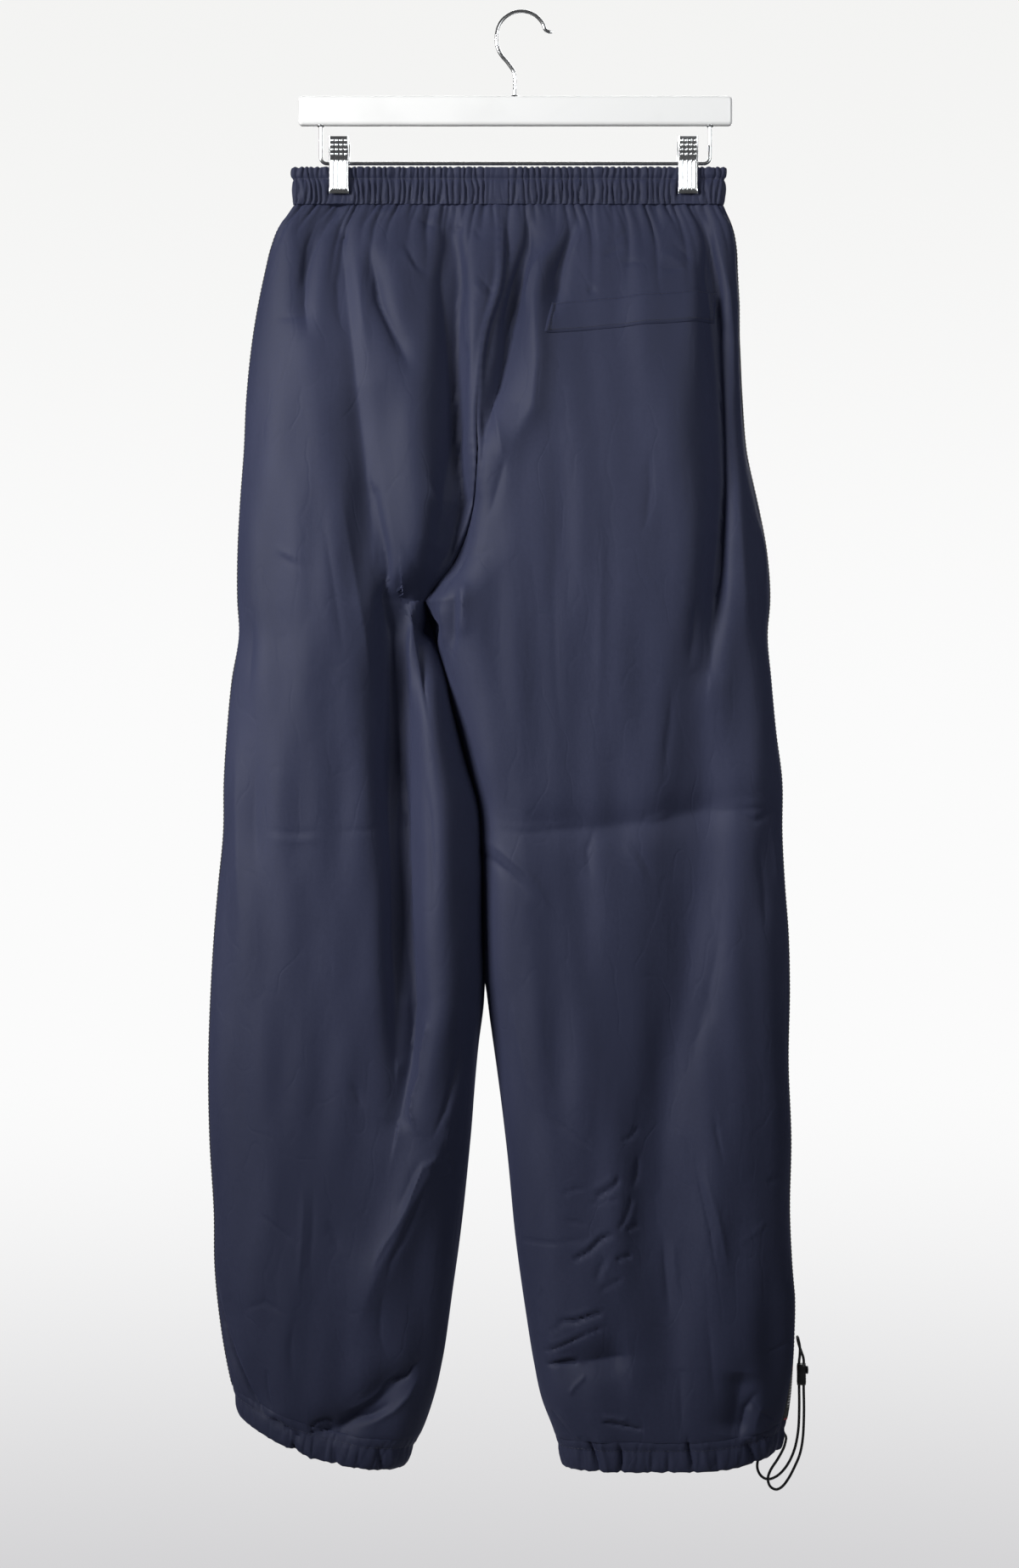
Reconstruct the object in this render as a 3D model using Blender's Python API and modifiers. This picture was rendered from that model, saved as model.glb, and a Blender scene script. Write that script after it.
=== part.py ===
"""Navy track pants hanging from a white clip hanger, with the garment's back to -Y.

Metres, +Z up. The origin is the seat inside the hanger's hook, +X is the wearer's right and
+Y the front of the garment. Sizes below are in millimetres and MM turns them into metres.
"""
import math

import bmesh
import bpy
import numpy as np
from mathutils import Vector

MM = 0.001

# Cloth and seams
SEAM_GAP = 0.3            # clear distance between two pieces that are sewn together
CLOTH_WALL = 1.3
BACK_COLUMNS = 20
FRONT_COLUMNS = 12
ROWS_ABOVE_POCKET = 5
ROWS_TO_CROTCH = 9
ROWS_TO_HEM = 17
CLOSING_IN = 1.4          # how much closer the rows lie just above the crotch
OPENING_OUT = 1.15        # and just below it
WAIST_SEAM = -154.5
POCKET_TOP = -232.5
POCKET_HEIGHT = 25.5
CROTCH = -475.0
HEM_SEAM = -1146.8
HEM_BOTTOM = -1171.0
PINCH_START = -300.0      # height where the centre seams begin to run in towards the crotch
PINCH_POWER = 2.2
CROWN = 0.08              # how much fuller a panel is at its middle than near its edges
NORMAL_STEP = 4.0         # how far to each side a surface is sampled for its direction
ROW_SAMPLES = 241
NEIGHBOUR_SAMPLES = 60
SAME_LEVEL = 0.01
FOLD_FADE = 0.7           # how quickly folds fade where a panel rounds into its seams
FOLDS_BELOW_BAND = 8.0    # the distance below the waistband over which folds begin
FLARE_DEPTH = 9.0         # where the front stands out this far, it also swells past the side seam
FLARE_REACH = (4.0, 38.0)         # the distances from the seam over which that swelling dies
HEM_SWING = {"left": 40.0, "right": 11.0}       # how far each hem rises towards its side seam
HEM_SWING_SHARE = {"left": 1.0, "right": 0.4}   # the share of the hem's width that rises
HEM_SWING_HEIGHTS = (900.0, 1140.0)

# Waistband
BAND_TOP = -125.3
BAND_GATHERS = 42         # in each quarter of the ring
BAND_GATHER_DEPTH = 0.7
BAND_INSIDE = 2.2
BAND_SCALLOP = 0.5
BAND_STITCHED = 8.5       # below the top edge: the stitched line that draws the band in
BAND_FULLEST = 17.5       # and the row where it stands out most
BAND_PROUD = (-0.2, -0.5, 0.5, 0.1)
PLAIN_CENTRE = -19.5      # the plain stretch at centre back
PLAIN_HALF_WIDTH = 10.0

# Hem casings
HEM_GATHERS = 8           # on each face of each leg
HEM_GATHER_DEPTH = 1.1
HEM_PROUD = 0.7           # how far the casing stands out at its seam, its middle and its bottom
HEM_MIDDLE_PROUD = 1.5
HEM_BOTTOM_PROUD = 0.4
HEM_SWELL = (0.5, 1.0, 0.8)       # the share of the gathers' depth at those three rows
HEM_INSIDE = 1.8

# Side tape, side pocket edge and back pocket welt
TAPE_WIDTH = 12.0
TAPE_THICKNESS = 0.8
POCKET_EDGE_WIDTH = 8.0
POCKET_EDGE_TOP = -190.0
POCKET_EDGE_BOTTOM = -335.0
POCKET_EDGE_BULGE = 6.0   # how far it swells sideways at its middle
POCKET_EDGE_END = 0.4     # and at its ends
POCKET_EDGE_THICKNESS = 1.0
WELT_LEFT = 20.0
WELT_RIGHT = 163.0
WELT_THICKNESS = 1.2
POCKET_SLANT_SHARES = (0, 0.09, 0.42, 0.76, 1)    # places from the side seam to the centre seam
POCKET_SLANT = (0, 7, 0, -7, 0)                   # how far the welt's row rises at each of them
POCKET_SLANT_REACH = 45.0                         # and how far above and below that dies away

# Drawcord, eyelets and cord locks
CORD_DIAMETER = 2.2
CORD_STEP = 5.2
EYELET_RADIUS = 3.0
EYELET_WIRE = 0.9
EYELET_BEND = 5.2         # the cord's bend just outside an eyelet
BEND_TURNS = (0.0, math.pi / 6, math.pi / 3, math.pi / 2)       # the steps of a quarter bend
EYELET_BEND_TURN = {"left": 1.0, "right": -1.0}                # up on the left, down on the right
EYELET_PLACES = {"left": (27.0, 40.0), "right": (15.0, 28.0)}   # from the side seam, on the front
FLAT_AT_EYELETS = 9.0     # the casing has no gathers this far on either side of its eyelets
LOCK_CENTRES = {"left": (-237.0, 20.4, -1076.0), "right": (226.9, 8.6, -1100.0)}
LOCK_WIDTH = 7.4
LOCK_DEPTH = 8.0
LOCK_HEIGHT = 17.0
LOCK_BORE = 2.9
LOCK_BORE_SPACING = 3.7
LOCK_BORE_OVERSHOOT = 4.0
LOCK_ROUNDING = 1.6
LOCK_KNOB = 4.6
LOCK_KNOB_REACH = 1.8
LOCK_KNOB_ROOT = 2.0      # how deep the knob is set into the body
LOCK_KNOB_RISE = 3.5

# Hanger
HANGER_CENTRE = -4.8
BAR_LENGTH = 350.0
BAR_HEIGHT = 24.0
BAR_DEPTH = 8.0
BAR_TOP = -67.2
HOOK_RADIUS = 20.0
HOOK_NECK = ((-5.5, -50.0), (-10.0, -41.5), (-16.5, -33.5), (-19.6, -26.0))   # (x, height)
HOOK_ANGLES = range(180, 11, -15)
HOOK_TIP = ((22.5, -15.2), (25.0, -15.6))
HOOK_STEP = 5.5
WIRE_DIAMETER = 3.0
WIRE_BORE = 3.6
SHANK_X = -5.5
ROD_HALF_SPAN = 157.0
ROD_HEIGHT = -121.4
ROD_BEND = 5.0
BORE_DEPTH = 12.0
SHANK_CLEAR = 1.0         # how far short of its bore's end the shank stops
ROD_CLEAR = 1.5           # and each end of the rod
BAR_ROUNDING = 2.5
BORE_OVERSHOOT = 1.0
CLIP_CENTRES = {"left": -146.8, "right": 134.1}
CLIP_WIDTH = 16.0
JAW_GRIP = 6.4            # distance of a jaw's gripping face from the middle plane
JAW_THICKNESS = 2.0
JAW_BOTTOM = -147.0
JAW_TOP = -102.0
JAW_FLARE = 3.2

SIDE_SIGN = {"left": -1.0, "right": 1.0}
FACE_SIGN = {"back": -1.0, "front": 1.0}
OTHER_SIDE = {"left": "right", "right": "left"}
OTHER_FACE = {"back": "front", "front": "back"}

# The outline: where each side of the garment lies at each height.
OUTLINE_COLUMNS = ("height", "left", "right")
OUTLINE = (
    (-125, -183, 165), (-132, -185, 165), (-154, -184.5, 164), (-172, -196, 170),
    (-188, -201.5, 173), (-209, -206.5, 174), (-250, -214.5, 176), (-311, -221.5, 179),
    (-353, -223.5, 182.5), (-394, -226.5, 190), (-435, -228.5, 197.5), (-475, -228.5, 200),
    (-500, -227, 198), (-538, -233, 201), (-580, -237, 205), (-620, -239.5, 210),
    (-661, -240, 210), (-703, -244, 212), (-744, -247.5, 215), (-785, -250, 216),
    (-847, -252, 215), (-908, -251, 217), (-970, -247.5, 216), (-1011, -247, 218),
    (-1052, -243, 221.5), (-1094, -236, 222), (-1125, -228.5, 219.5), (-1145, -222, 216),
    (-1172, -213, 210),
)

# The centre seams above the crotch and the two inseams below it.
CENTRE_COLUMNS = ("height", "back", "front")
CENTRE = (
    (-125, -18, -12), (-160, -17.5, -12), (-225, -18, -12), (-260, -28, -14), (-325, -35, -20),
    (-370, -35.5, -28), (-405, -39, -40), (-430, -47, -53), (-450, -58, -64), (-475, -79, -79),
)
INSEAM_COLUMNS = ("height", "left", "right")
INSEAM = (
    (-475, -79, -79), (-490, -74.2, -73.6), (-507, -69.5, -68.9), (-550, -58.1, -57.5),
    (-603, -44.4, -43.8), (-640, -34.2, -33.6), (-670, -33.0, -32.4), (-730, -32.4, -31.8),
    (-768, -30.6, -29.8), (-795, -30.4, -27.4), (-831, -34.6, -22.5), (-919, -42, -11.5),
    (-980, -48.5, -5.5), (-1051, -58.5, 4), (-1088, -64, 10), (-1118, -71, 16.5),
    (-1143, -80, 26), (-1172, -96, 34),
)

# How far each side seam lies inside the outline, where the front swells out past the seam.
FLARE_COLUMNS = ("height", "left", "right")
FLARE = (
    (-125, 0, 0), (-235, 0, 0), (-262, 0, 1.6), (-355, 0, 1.6), (-400, 0, 0), (-1035, 0, 0),
    (-1065, 0, 2.5), (-1086, 0, 3.8), (-1106, 0, 5.5), (-1152, 0, 8.5), (-1172, 0, 8.5),
)

# The depth of each face and how widely it rounds into the side and into the inseam.
FORM_COLUMNS = ("height", "back", "front", "side_round", "inseam_round")
FORM = (
    (-125, 5.4, 5.4, 5, 30), (-154, 5.7, 5.7, 6, 30), (-170, 10, 9, 12, 30),
    (-200, 20, 16, 26, 32), (-240, 31, 24, 42, 36), (-300, 41, 30, 58, 40),
    (-380, 48, 35, 72, 42), (-475, 48, 38, 80, 42), (-560, 44, 38, 78, 40),
    (-680, 40, 37, 72, 38), (-800, 38, 36, 70, 42), (-950, 37, 36, 70, 50),
    (-1080, 34, 33, 62, 52), (-1147, 30, 29, 55, 50), (-1172, 27, 26, 50, 46),
)

# The largest folds as (face, depth, spread, sharpness, steepness, path). A negative depth is a
# trough and a positive one a ridge. spread is the distance from the path, a row of (x, height),
# at which it has mostly died away; sharpness is 2 for a soft fold and nearer 1 for a crisp one;
# steepness is the share of the spread on the right-hand side of a path that runs down.
FOLDS = (
    ("back", -8, 8, 1.4, 1, ((-158, -160), (-167, -186), (-172, -217), (-173, -240), (-170, -262))),
    ("back", -7, 8, 1.4, 1, ((-123, -191), (-116, -220), (-111, -240), (-100, -266), (-90, -289))),
    ("back", -23, 15, 1.5, 0.55, ((-58, -158), (-56, -195), (-56, -237), (-55, -283), (-52, -351),
                                  (-47, -397), (-57, -436), (-78, -468))),
    ("back", -17, 9, 1.4, 1, ((8, -160), (5, -194), (-1, -228), (-9, -257), (-13, -283), (-18, -306),
                              (-29, -345))),
    ("back", 8, 12, 1.6, 1, ((40, -172), (16, -205), (9, -231), (12, -283), (8, -323), (-6, -352))),
    ("back", -8, 9, 1.5, 0.6, ((46, -161), (37, -189), (30, -217), (26, -245))),
    ("back", -20, 12, 1.4, 0.7, ((145, -158), (151, -203), (156, -251), (159, -283), (161, -337),
                                 (162, -380), (158, -442), (150, -530))),
    ("back", -8, 22, 1.8, 1, ((-126, -305), (-121, -421), (-113, -480))),
    ("back", -10, 16, 1.6, 1, ((-72, -452), (-92, -474), (-106, -505), (-106, -560), (-101, -640))),
    ("back", -23, 17, 1.5, 0.35, ((-95, -478), (-91, -538), (-89, -606), (-87, -675), (-86, -744),
                                  (-84, -798), (-88, -845), (-97, -888))),
    ("back", 8, 16, 2, 1, ((-72, -500), (-64, -600), (-59, -700), (-60, -800), (-70, -880))),
    ("back", 8, 15, 1.5, 1, ((-50, -860), (-64, -912), (-90, -962), (-114, -1008), (-128, -1045))),
    ("back", -13, 26, 1.8, 1, ((143, -500), (145, -600), (141, -700), (128, -800), (112, -900),
                               (110, -980), (121, -1087))),
    ("back", -5, 14, 1.5, 1, ((-10, -655), (62, -657), (97, -652), (148, -642), (196, -636))),
    ("back", -8, 13, 1.5, 1, ((-240, -1030), (-229, -1080), (-203, -1130))),
    ("back", -9, 13, 1.5, 1, ((-171, -1136), (-143, -1136), (-109, -1107), (-84, -1086))),
    ("back", -8, 13, 1.5, 1, ((176, -1090), (172, -1120), (168, -1142))),
    ("back", -7, 13, 1.5, 1, ((24, -1086), (50, -1083), (86, -1077))),
    ("front", -14, 15, 1.6, 1, ((-128, -160), (-122, -230), (-104, -330), (-92, -420))),
    ("front", -13, 14, 1.6, 1, ((92, -160), (86, -240), (66, -330), (30, -420))),
    ("front", 7, 15, 1.8, 1, ((20, -165), (8, -240), (-4, -320))),
    ("front", -14, 20, 1.8, 1, ((-150, -500), (-146, -640), (-150, -780), (-140, -900))),
    ("front", -13, 22, 1.8, 1, ((86, -480), (90, -640), (80, -800), (96, -960), (110, -1080))),
    ("front", 8, 18, 1.8, 1, ((150, -560), (140, -700), (150, -860))),
    ("front", -6, 20, 1.6, 1, ((-210, -668), (-150, -660), (-90, -672))),
    ("front", -8, 15, 1.6, 1, ((-190, -1130), (-150, -1110), (-110, -1120))),
)
FOLD_RISE = (-0.12, 0.22)         # the shares of a path over which each of its ends rises
FOLD_FULL_DEPTH = 26.0            # cloth that stands out less than this takes shallower folds
LEAST_FULLNESS = 0.45             # the share of a panel's depth that no fold goes below


# The route of each drawcord's free loop, from the bend after its first eyelet to the bend before
# its second: up through the lock, round the small top loop and down through the lock again.
CORD_ROUTES = {
    "right": ((213.6, 20.6, -1163.0), (208.6, 20.0, -1172.0), (203.2, 18.2, -1179.5),
              (200.4, 15.2, -1186.0), (201.8, 12.0, -1191.6), (206.6, 10.0, -1193.8),
              (211.8, 9.0, -1190.8), (216.8, 8.4, -1183.8), (221.6, 8.2, -1174.4),
              (225.8, 8.2, -1164.0), (228.2, 8.4, -1150.0), (229.0, 8.6, -1130.0),
              (228.75, 8.6, -1112.0), (228.75, 8.6, -1100.0), (228.75, 8.6, -1088.5),
              (227.4, 10.4, -1083.2), (225.5, 13.6, -1077.6), (224.1, 12.4, -1071.9),
              (223.7, 8.3, -1069.7), (224.2, 4.2, -1071.9), (225.1, 2.8, -1077.4),
              (225.3, 6.0, -1084.6), (225.05, 8.6, -1090.0), (225.05, 8.6, -1100.0),
              (225.05, 8.6, -1111.0), (225.2, 9.2, -1128.0), (224.6, 11.0, -1146.0),
              (221.8, 13.4, -1162.0), (216.6, 16.6, -1175.0),
              (209.6, 20.6, -1184.6), (202.0, 23.4, -1188.8), (196.0, 25.0, -1186.8),
              (192.8, 26.2, -1180.4), (194.0, 27.4, -1172.4), (198.4, 28.2, -1165.0)),
    "left": ((-222.4, 26.8, -1114.6), (-229.4, 24.8, -1105.0), (-236.0, 21.8, -1095.4),
             (-238.85, 20.4, -1086.5), (-238.85, 20.4, -1076.0), (-238.85, 20.4, -1066.0),
             (-241.3, 20.4, -1060.8), (-242.1, 20.8, -1055.4), (-240.4, 21.0, -1051.8),
             (-236.8, 21.3, -1050.6), (-233.2, 21.6, -1051.8), (-231.5, 21.6, -1055.4),
             (-232.4, 21.0, -1060.8), (-235.15, 20.4, -1066.6), (-235.15, 20.4, -1076.0),
             (-235.15, 20.4, -1086.0), (-230.6, 23.4, -1095.4), (-220.6, 28.4, -1107.4),
             (-210.6, 31.4, -1119.6)),
}


def columns_of(names, rows):
    """The columns of a table by name, ordered by rising height."""
    ordered = sorted(rows)
    return {name: np.array([row[index] for row in ordered], float) for index, name in enumerate(names)}


OUTLINE_AT = columns_of(OUTLINE_COLUMNS, OUTLINE)
CENTRE_AT = columns_of(CENTRE_COLUMNS, CENTRE)
INSEAM_AT = columns_of(INSEAM_COLUMNS, INSEAM)
FLARE_AT = columns_of(FLARE_COLUMNS, FLARE)
FORM_AT = columns_of(FORM_COLUMNS, FORM)


def read_curve(table, name, height):
    """A column's value at a height, on a smooth curve through the table's rows."""
    heights, values = table["height"], table[name]
    slopes = np.gradient(values, heights)
    place = np.clip(height, heights[0], heights[-1])
    after = int(np.clip(np.searchsorted(heights, place), 1, len(heights) - 1))
    before = after - 1
    step = heights[after] - heights[before]
    share = (place - heights[before]) / step
    return float(
        values[before] * (1 + 2 * share) * (1 - share) ** 2
        + slopes[before] * step * share * (1 - share) ** 2
        + values[after] * share ** 2 * (3 - 2 * share)
        + slopes[after] * step * share ** 2 * (share - 1)
    )


def ease(value, start, end):
    """0 before start, 1 after end and a smooth rise between them."""
    share = np.clip((value - start) / (end - start), 0.0, 1.0)
    return share * share * (3 - 2 * share)


def quarter_round(distance, radius):
    """The rise of a rounded edge: 0 at the edge itself and 1 from one radius on."""
    return np.sqrt(1 - (1 - np.clip(distance / radius, 0.0, 1.0)) ** 2)


def row_lift(face, side, share, height):
    """How far a row of the grid leaves its level: at the hems, and along the back pocket.

    share is 0 at the side seam and 1 at the inner seam.
    """
    hem_swing = HEM_SWING[side] * np.clip(1 - share / HEM_SWING_SHARE[side], 0, 1) ** 2
    lift = hem_swing * ease(-height, *HEM_SWING_HEIGHTS)
    if face == "back" and side == "right":
        slant = np.interp(share, POCKET_SLANT_SHARES, POCKET_SLANT)
        nearness = math.exp(-((height - POCKET_TOP + POCKET_HEIGHT / 2) / POCKET_SLANT_REACH) ** 2)
        lift = lift + slant * nearness
    return lift


def fold_relief(face, x, z):
    """The summed height of the folds at points of a face."""
    relief = np.zeros_like(x)
    for fold_face, depth, spread, sharpness, steepness, path in FOLDS:
        if fold_face != face:
            continue
        corners = np.array(path, float)
        lengths = np.linalg.norm(np.diff(corners, axis=0), axis=1)
        travelled = np.concatenate(([0.0], np.cumsum(lengths)))
        nearest = np.full_like(x, 1e9)
        along = np.zeros_like(x)
        width = np.full_like(x, spread)
        for index, length in enumerate(lengths):
            start, step = corners[index], corners[index + 1] - corners[index]
            share = np.clip(((x - start[0]) * step[0] + (z - start[1]) * step[1]) / length ** 2, 0, 1)
            distance = np.hypot(x - start[0] - share * step[0], z - start[1] - share * step[1])
            on_right = step[0] * (z - start[1]) - step[1] * (x - start[0]) > 0
            closer = distance < nearest
            nearest = np.where(closer, distance, nearest)
            along = np.where(closer, travelled[index] + share * length, along)
            width = np.where(closer, spread * np.where(on_right, steepness, 1.0), width)
        part = along / travelled[-1]
        fade = ease(part, *FOLD_RISE) * ease(1 - part, *FOLD_RISE)
        relief += depth * fade * np.exp(-(nearest / width) ** sharpness)
    return relief


def dense_row(face, side, height):
    """One row of the outer surface as closely spaced points, side seam first."""
    seam_height = height + float(row_lift("front", side, 0.0, height))
    flare = float(np.interp(seam_height, FLARE_AT["height"], FLARE_AT[side]))
    outer = read_curve(OUTLINE_AT, side, seam_height) - SIDE_SIGN[side] * flare
    if height > CROTCH + SAME_LEVEL:
        inner = read_curve(CENTRE_AT, face, height)
    else:
        inner = read_curve(INSEAM_AT, side, height + float(row_lift("front", side, 1.0, height)))
    share = (1 - np.cos(np.linspace(0, math.pi, ROW_SAMPLES))) / 2
    x = outer + (inner - outer) * share
    z = height + row_lift(face, side, share, height)
    width = abs(inner - outer)
    pinch = np.clip((PINCH_START - height) / (PINCH_START - CROTCH), 0, 1) ** PINCH_POWER
    at_side = quarter_round(share * width, read_curve(FORM_AT, "side_round", height))
    at_inner = quarter_round((1 - share) * width, read_curve(FORM_AT, "inseam_round", height))
    fullness = at_side * (1 - pinch * (1 - at_inner))
    depth = read_curve(FORM_AT, face, height)
    crowned = depth * fullness * (1 - CROWN + CROWN * np.sin(math.pi * np.minimum(share, 0.5)))
    relief = fold_relief(face, x, z) * fullness ** FOLD_FADE * min(1.0, depth / FOLD_FULL_DEPTH)
    relief *= ease(WAIST_SEAM - height, 0.0, FOLDS_BELOW_BAND)
    out = np.maximum(crowned + relief, LEAST_FULLNESS * crowned)
    if face == "front":
        swelling = ease(out, 0, FLARE_DEPTH) * (1 - ease(share * width, *FLARE_REACH))
        x = x + SIDE_SIGN[side] * flare * swelling
    return np.stack((x, FACE_SIGN[face] * out, z), axis=1)


def joined_row(face, side, height):
    """A row with the ends of its neighbours on it, and the distance along it from the side seam."""
    row = dense_row(face, side, height)
    before = dense_row(OTHER_FACE[face], side, height)[1:NEIGHBOUR_SAMPLES][::-1]
    if height > CROTCH + SAME_LEVEL:
        beyond = dense_row(face, OTHER_SIDE[side], height)
    else:
        beyond = dense_row(OTHER_FACE[face], side, height)
    after = beyond[-NEIGHBOUR_SAMPLES:-1][::-1]
    points = np.concatenate((before, row, after))
    travelled = np.concatenate(([0.0], np.cumsum(np.linalg.norm(np.diff(points, axis=0), axis=1))))
    length = travelled[len(before) + len(row) - 1] - travelled[len(before)]
    return points, travelled - travelled[len(before)], length


def points_along(points, travelled, places):
    """The points at the given distances along a row."""
    return np.stack([np.interp(places, travelled, points[:, axis]) for axis in range(3)], axis=1)


def skin(face, side, heights, spacing):
    """Grid of outer points and outward directions of one face of one side.

    spacing gives the distances along a row, from the side seam, for a row's length.
    """
    rows, across = [], []
    for height in heights:
        points, travelled, length = joined_row(face, side, height)
        places = spacing(length)
        rows.append(points_along(points, travelled, places))
        across.append(
            points_along(points, travelled, places + NORMAL_STEP)
            - points_along(points, travelled, places - NORMAL_STEP)
        )
    grid = np.array(rows)
    down = np.gradient(grid, axis=0)
    direction = np.cross(np.array(across), down) * FACE_SIGN[face] * -SIDE_SIGN[side]
    return grid, direction / np.linalg.norm(direction, axis=2, keepdims=True)


def levelled(direction):
    """Directions turned level, so that a wall's rim at a seam stays at one height."""
    level = direction.copy()
    level[..., 2] = 0.0
    return level / np.linalg.norm(level, axis=-1, keepdims=True)


def back_spacing(length):
    """Evenly spaced columns of a back panel."""
    return np.linspace(0, length, BACK_COLUMNS)


def front_spacing(length):
    """Columns of a front panel: the tape, the pocket edge, then evenly spaced."""
    rest = np.linspace(TAPE_WIDTH + POCKET_EDGE_WIDTH, length, FRONT_COLUMNS - 2)
    return np.concatenate(([0.0, TAPE_WIDTH], rest))


def panel_heights():
    """The rows that all four panels share, closer together at the crotch."""
    pocket_bottom = POCKET_TOP - POCKET_HEIGHT
    above = np.linspace(WAIST_SEAM - SEAM_GAP / 2, POCKET_TOP, ROWS_ABOVE_POCKET)
    closing = 1 - (1 - np.linspace(0, 1, ROWS_TO_CROTCH)) ** CLOSING_IN
    opening = np.linspace(0, 1, ROWS_TO_HEM) ** OPENING_OUT
    to_crotch = pocket_bottom + (CROTCH - pocket_bottom) * closing
    to_hem = CROTCH + (HEM_SEAM + SEAM_GAP / 2 - CROTCH) * opening
    return np.concatenate((above, to_crotch, to_hem[1:]))


def pull_in(grid, first, last):
    """Move a grid's end columns in along the cloth by half a seam gap."""
    pulled = grid.copy()
    for edge, neighbour, wanted in ((0, 1, first), (-1, -2, last)):
        if wanted:
            step = grid[:, neighbour] - grid[:, edge]
            pulled[:, edge] += step / np.linalg.norm(step, axis=1, keepdims=True) * SEAM_GAP / 2
    return pulled


def material(name, colour, roughness, metallic=0.0):
    """A Principled material."""
    made = bpy.data.materials.new(name)
    made.use_nodes = True
    shader = made.node_tree.nodes["Principled BSDF"]
    shader.inputs["Base Color"].default_value = (*colour, 1.0)
    shader.inputs["Roughness"].default_value = roughness
    shader.inputs["Metallic"].default_value = metallic
    return made


def add_mesh(name, points, faces, collection, finish):
    """A named object from points in millimetres, with its faces turned outwards."""
    mesh = bpy.data.meshes.new(name)
    mesh.from_pydata([Vector(point) * MM for point in points], [], faces)
    builder = bmesh.new()
    builder.from_mesh(mesh)
    bmesh.ops.recalc_face_normals(builder, faces=builder.faces)
    builder.to_mesh(mesh)
    builder.free()
    mesh.materials.append(finish)
    made = bpy.data.objects.new(name, mesh)
    collection.objects.link(made)
    return made


def quad(a, b, c, d):
    """A four-cornered patch as two triangles."""
    return [(a, b, c), (a, c, d)]


def add_shell(name, outer, inner, collection, finish):
    """A wall between two grids of the same size."""
    rows, columns = outer.shape[:2]
    count = rows * columns
    faces = []
    for row in range(rows - 1):
        for column in range(columns - 1):
            here, below = row * columns + column, (row + 1) * columns + column
            faces += quad(here, below, below + 1, here + 1)
            faces += [tuple(count + corner for corner in face[::-1])
                      for face in quad(here, below, below + 1, here + 1)]
    border = list(range(columns))
    border += [row * columns + columns - 1 for row in range(1, rows)]
    border += [(rows - 1) * columns + column for column in range(columns - 2, -1, -1)]
    border += [row * columns for row in range(rows - 2, 0, -1)]
    for here, following in zip(border, border[1:] + border[:1]):
        faces += quad(here, following, count + following, count + here)
    points = np.concatenate((outer.reshape(-1, 3), inner.reshape(-1, 3)))
    return add_mesh(name, points, faces, collection, finish)


def add_gathered_ring(name, outer, inner, collection, finish):
    """A closed ring whose outer grid has a whole number of points for each inner point."""
    rows, columns = outer.shape[:2]
    inner_rows, inner_columns = inner.shape[:2]
    ratio = columns // inner_columns
    first_inner = rows * columns
    faces = []
    for row in range(rows - 1):
        for column in range(columns):
            following = (column + 1) % columns
            faces += quad(row * columns + column, (row + 1) * columns + column,
                          (row + 1) * columns + following, row * columns + following)
    for row in range(inner_rows - 1):
        for column in range(inner_columns):
            following = (column + 1) % inner_columns
            corners = [first_inner + index for index in (
                row * inner_columns + column, row * inner_columns + following,
                (row + 1) * inner_columns + following, (row + 1) * inner_columns + column)]
            faces += quad(*corners)
    for outer_row, inner_row in ((0, 0), (rows - 1, inner_rows - 1)):
        for column in range(inner_columns):
            here = first_inner + inner_row * inner_columns + column
            following = first_inner + inner_row * inner_columns + (column + 1) % inner_columns
            for step in range(ratio):
                start = outer_row * columns + column * ratio + step
                end = outer_row * columns + (column * ratio + step + 1) % columns
                faces.append((start, end, here))
            faces.append((end, following, here))
    points = np.concatenate((outer.reshape(-1, 3), inner.reshape(-1, 3)))
    return add_mesh(name, points, faces, collection, finish)


def ring(quarters, heights, spacing):
    """The closed loop of several faces; quarters lists (face, side, runs from the side seam)."""
    grids, directions = [], []
    for face, side, from_side in quarters:
        grid, direction = skin(face, side, heights, spacing)
        if not from_side:
            grid, direction = grid[:, ::-1], direction[:, ::-1]
        grids.append(grid[:, :-1])
        directions.append(direction[:, :-1])
    return np.concatenate(grids, axis=1), levelled(np.concatenate(directions, axis=1))


WAIST_LOOP = (("back", "left", True), ("back", "right", False), ("front", "right", True),
              ("front", "left", False))


def leg_loop(side):
    """The two faces of one leg as a closed loop."""
    return (("back", side, True), ("front", side, False))


def build_panels(collection, finish):
    """The four panels; returns each one's outer grid, pulled in at its seams, and directions."""
    heights = panel_heights()
    made = {}
    for face, spacing in (("back", back_spacing), ("front", front_spacing)):
        for side in ("left", "right"):
            grid, direction = skin(face, side, heights, spacing)
            crotch_row = int(np.argmin(np.abs(heights - CROTCH)))
            direction[crotch_row, -1] = (-SIDE_SIGN[side], 0.0, 0.0)
            direction[[0, -1]] = levelled(direction[[0, -1]])
            outer = pull_in(grid, True, True)
            inner = pull_in(grid - direction * CLOTH_WALL, True, True)
            add_shell(f"{face}_{side}", outer, inner, collection, finish)
            made[face, side] = (outer, direction)
    return made


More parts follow.
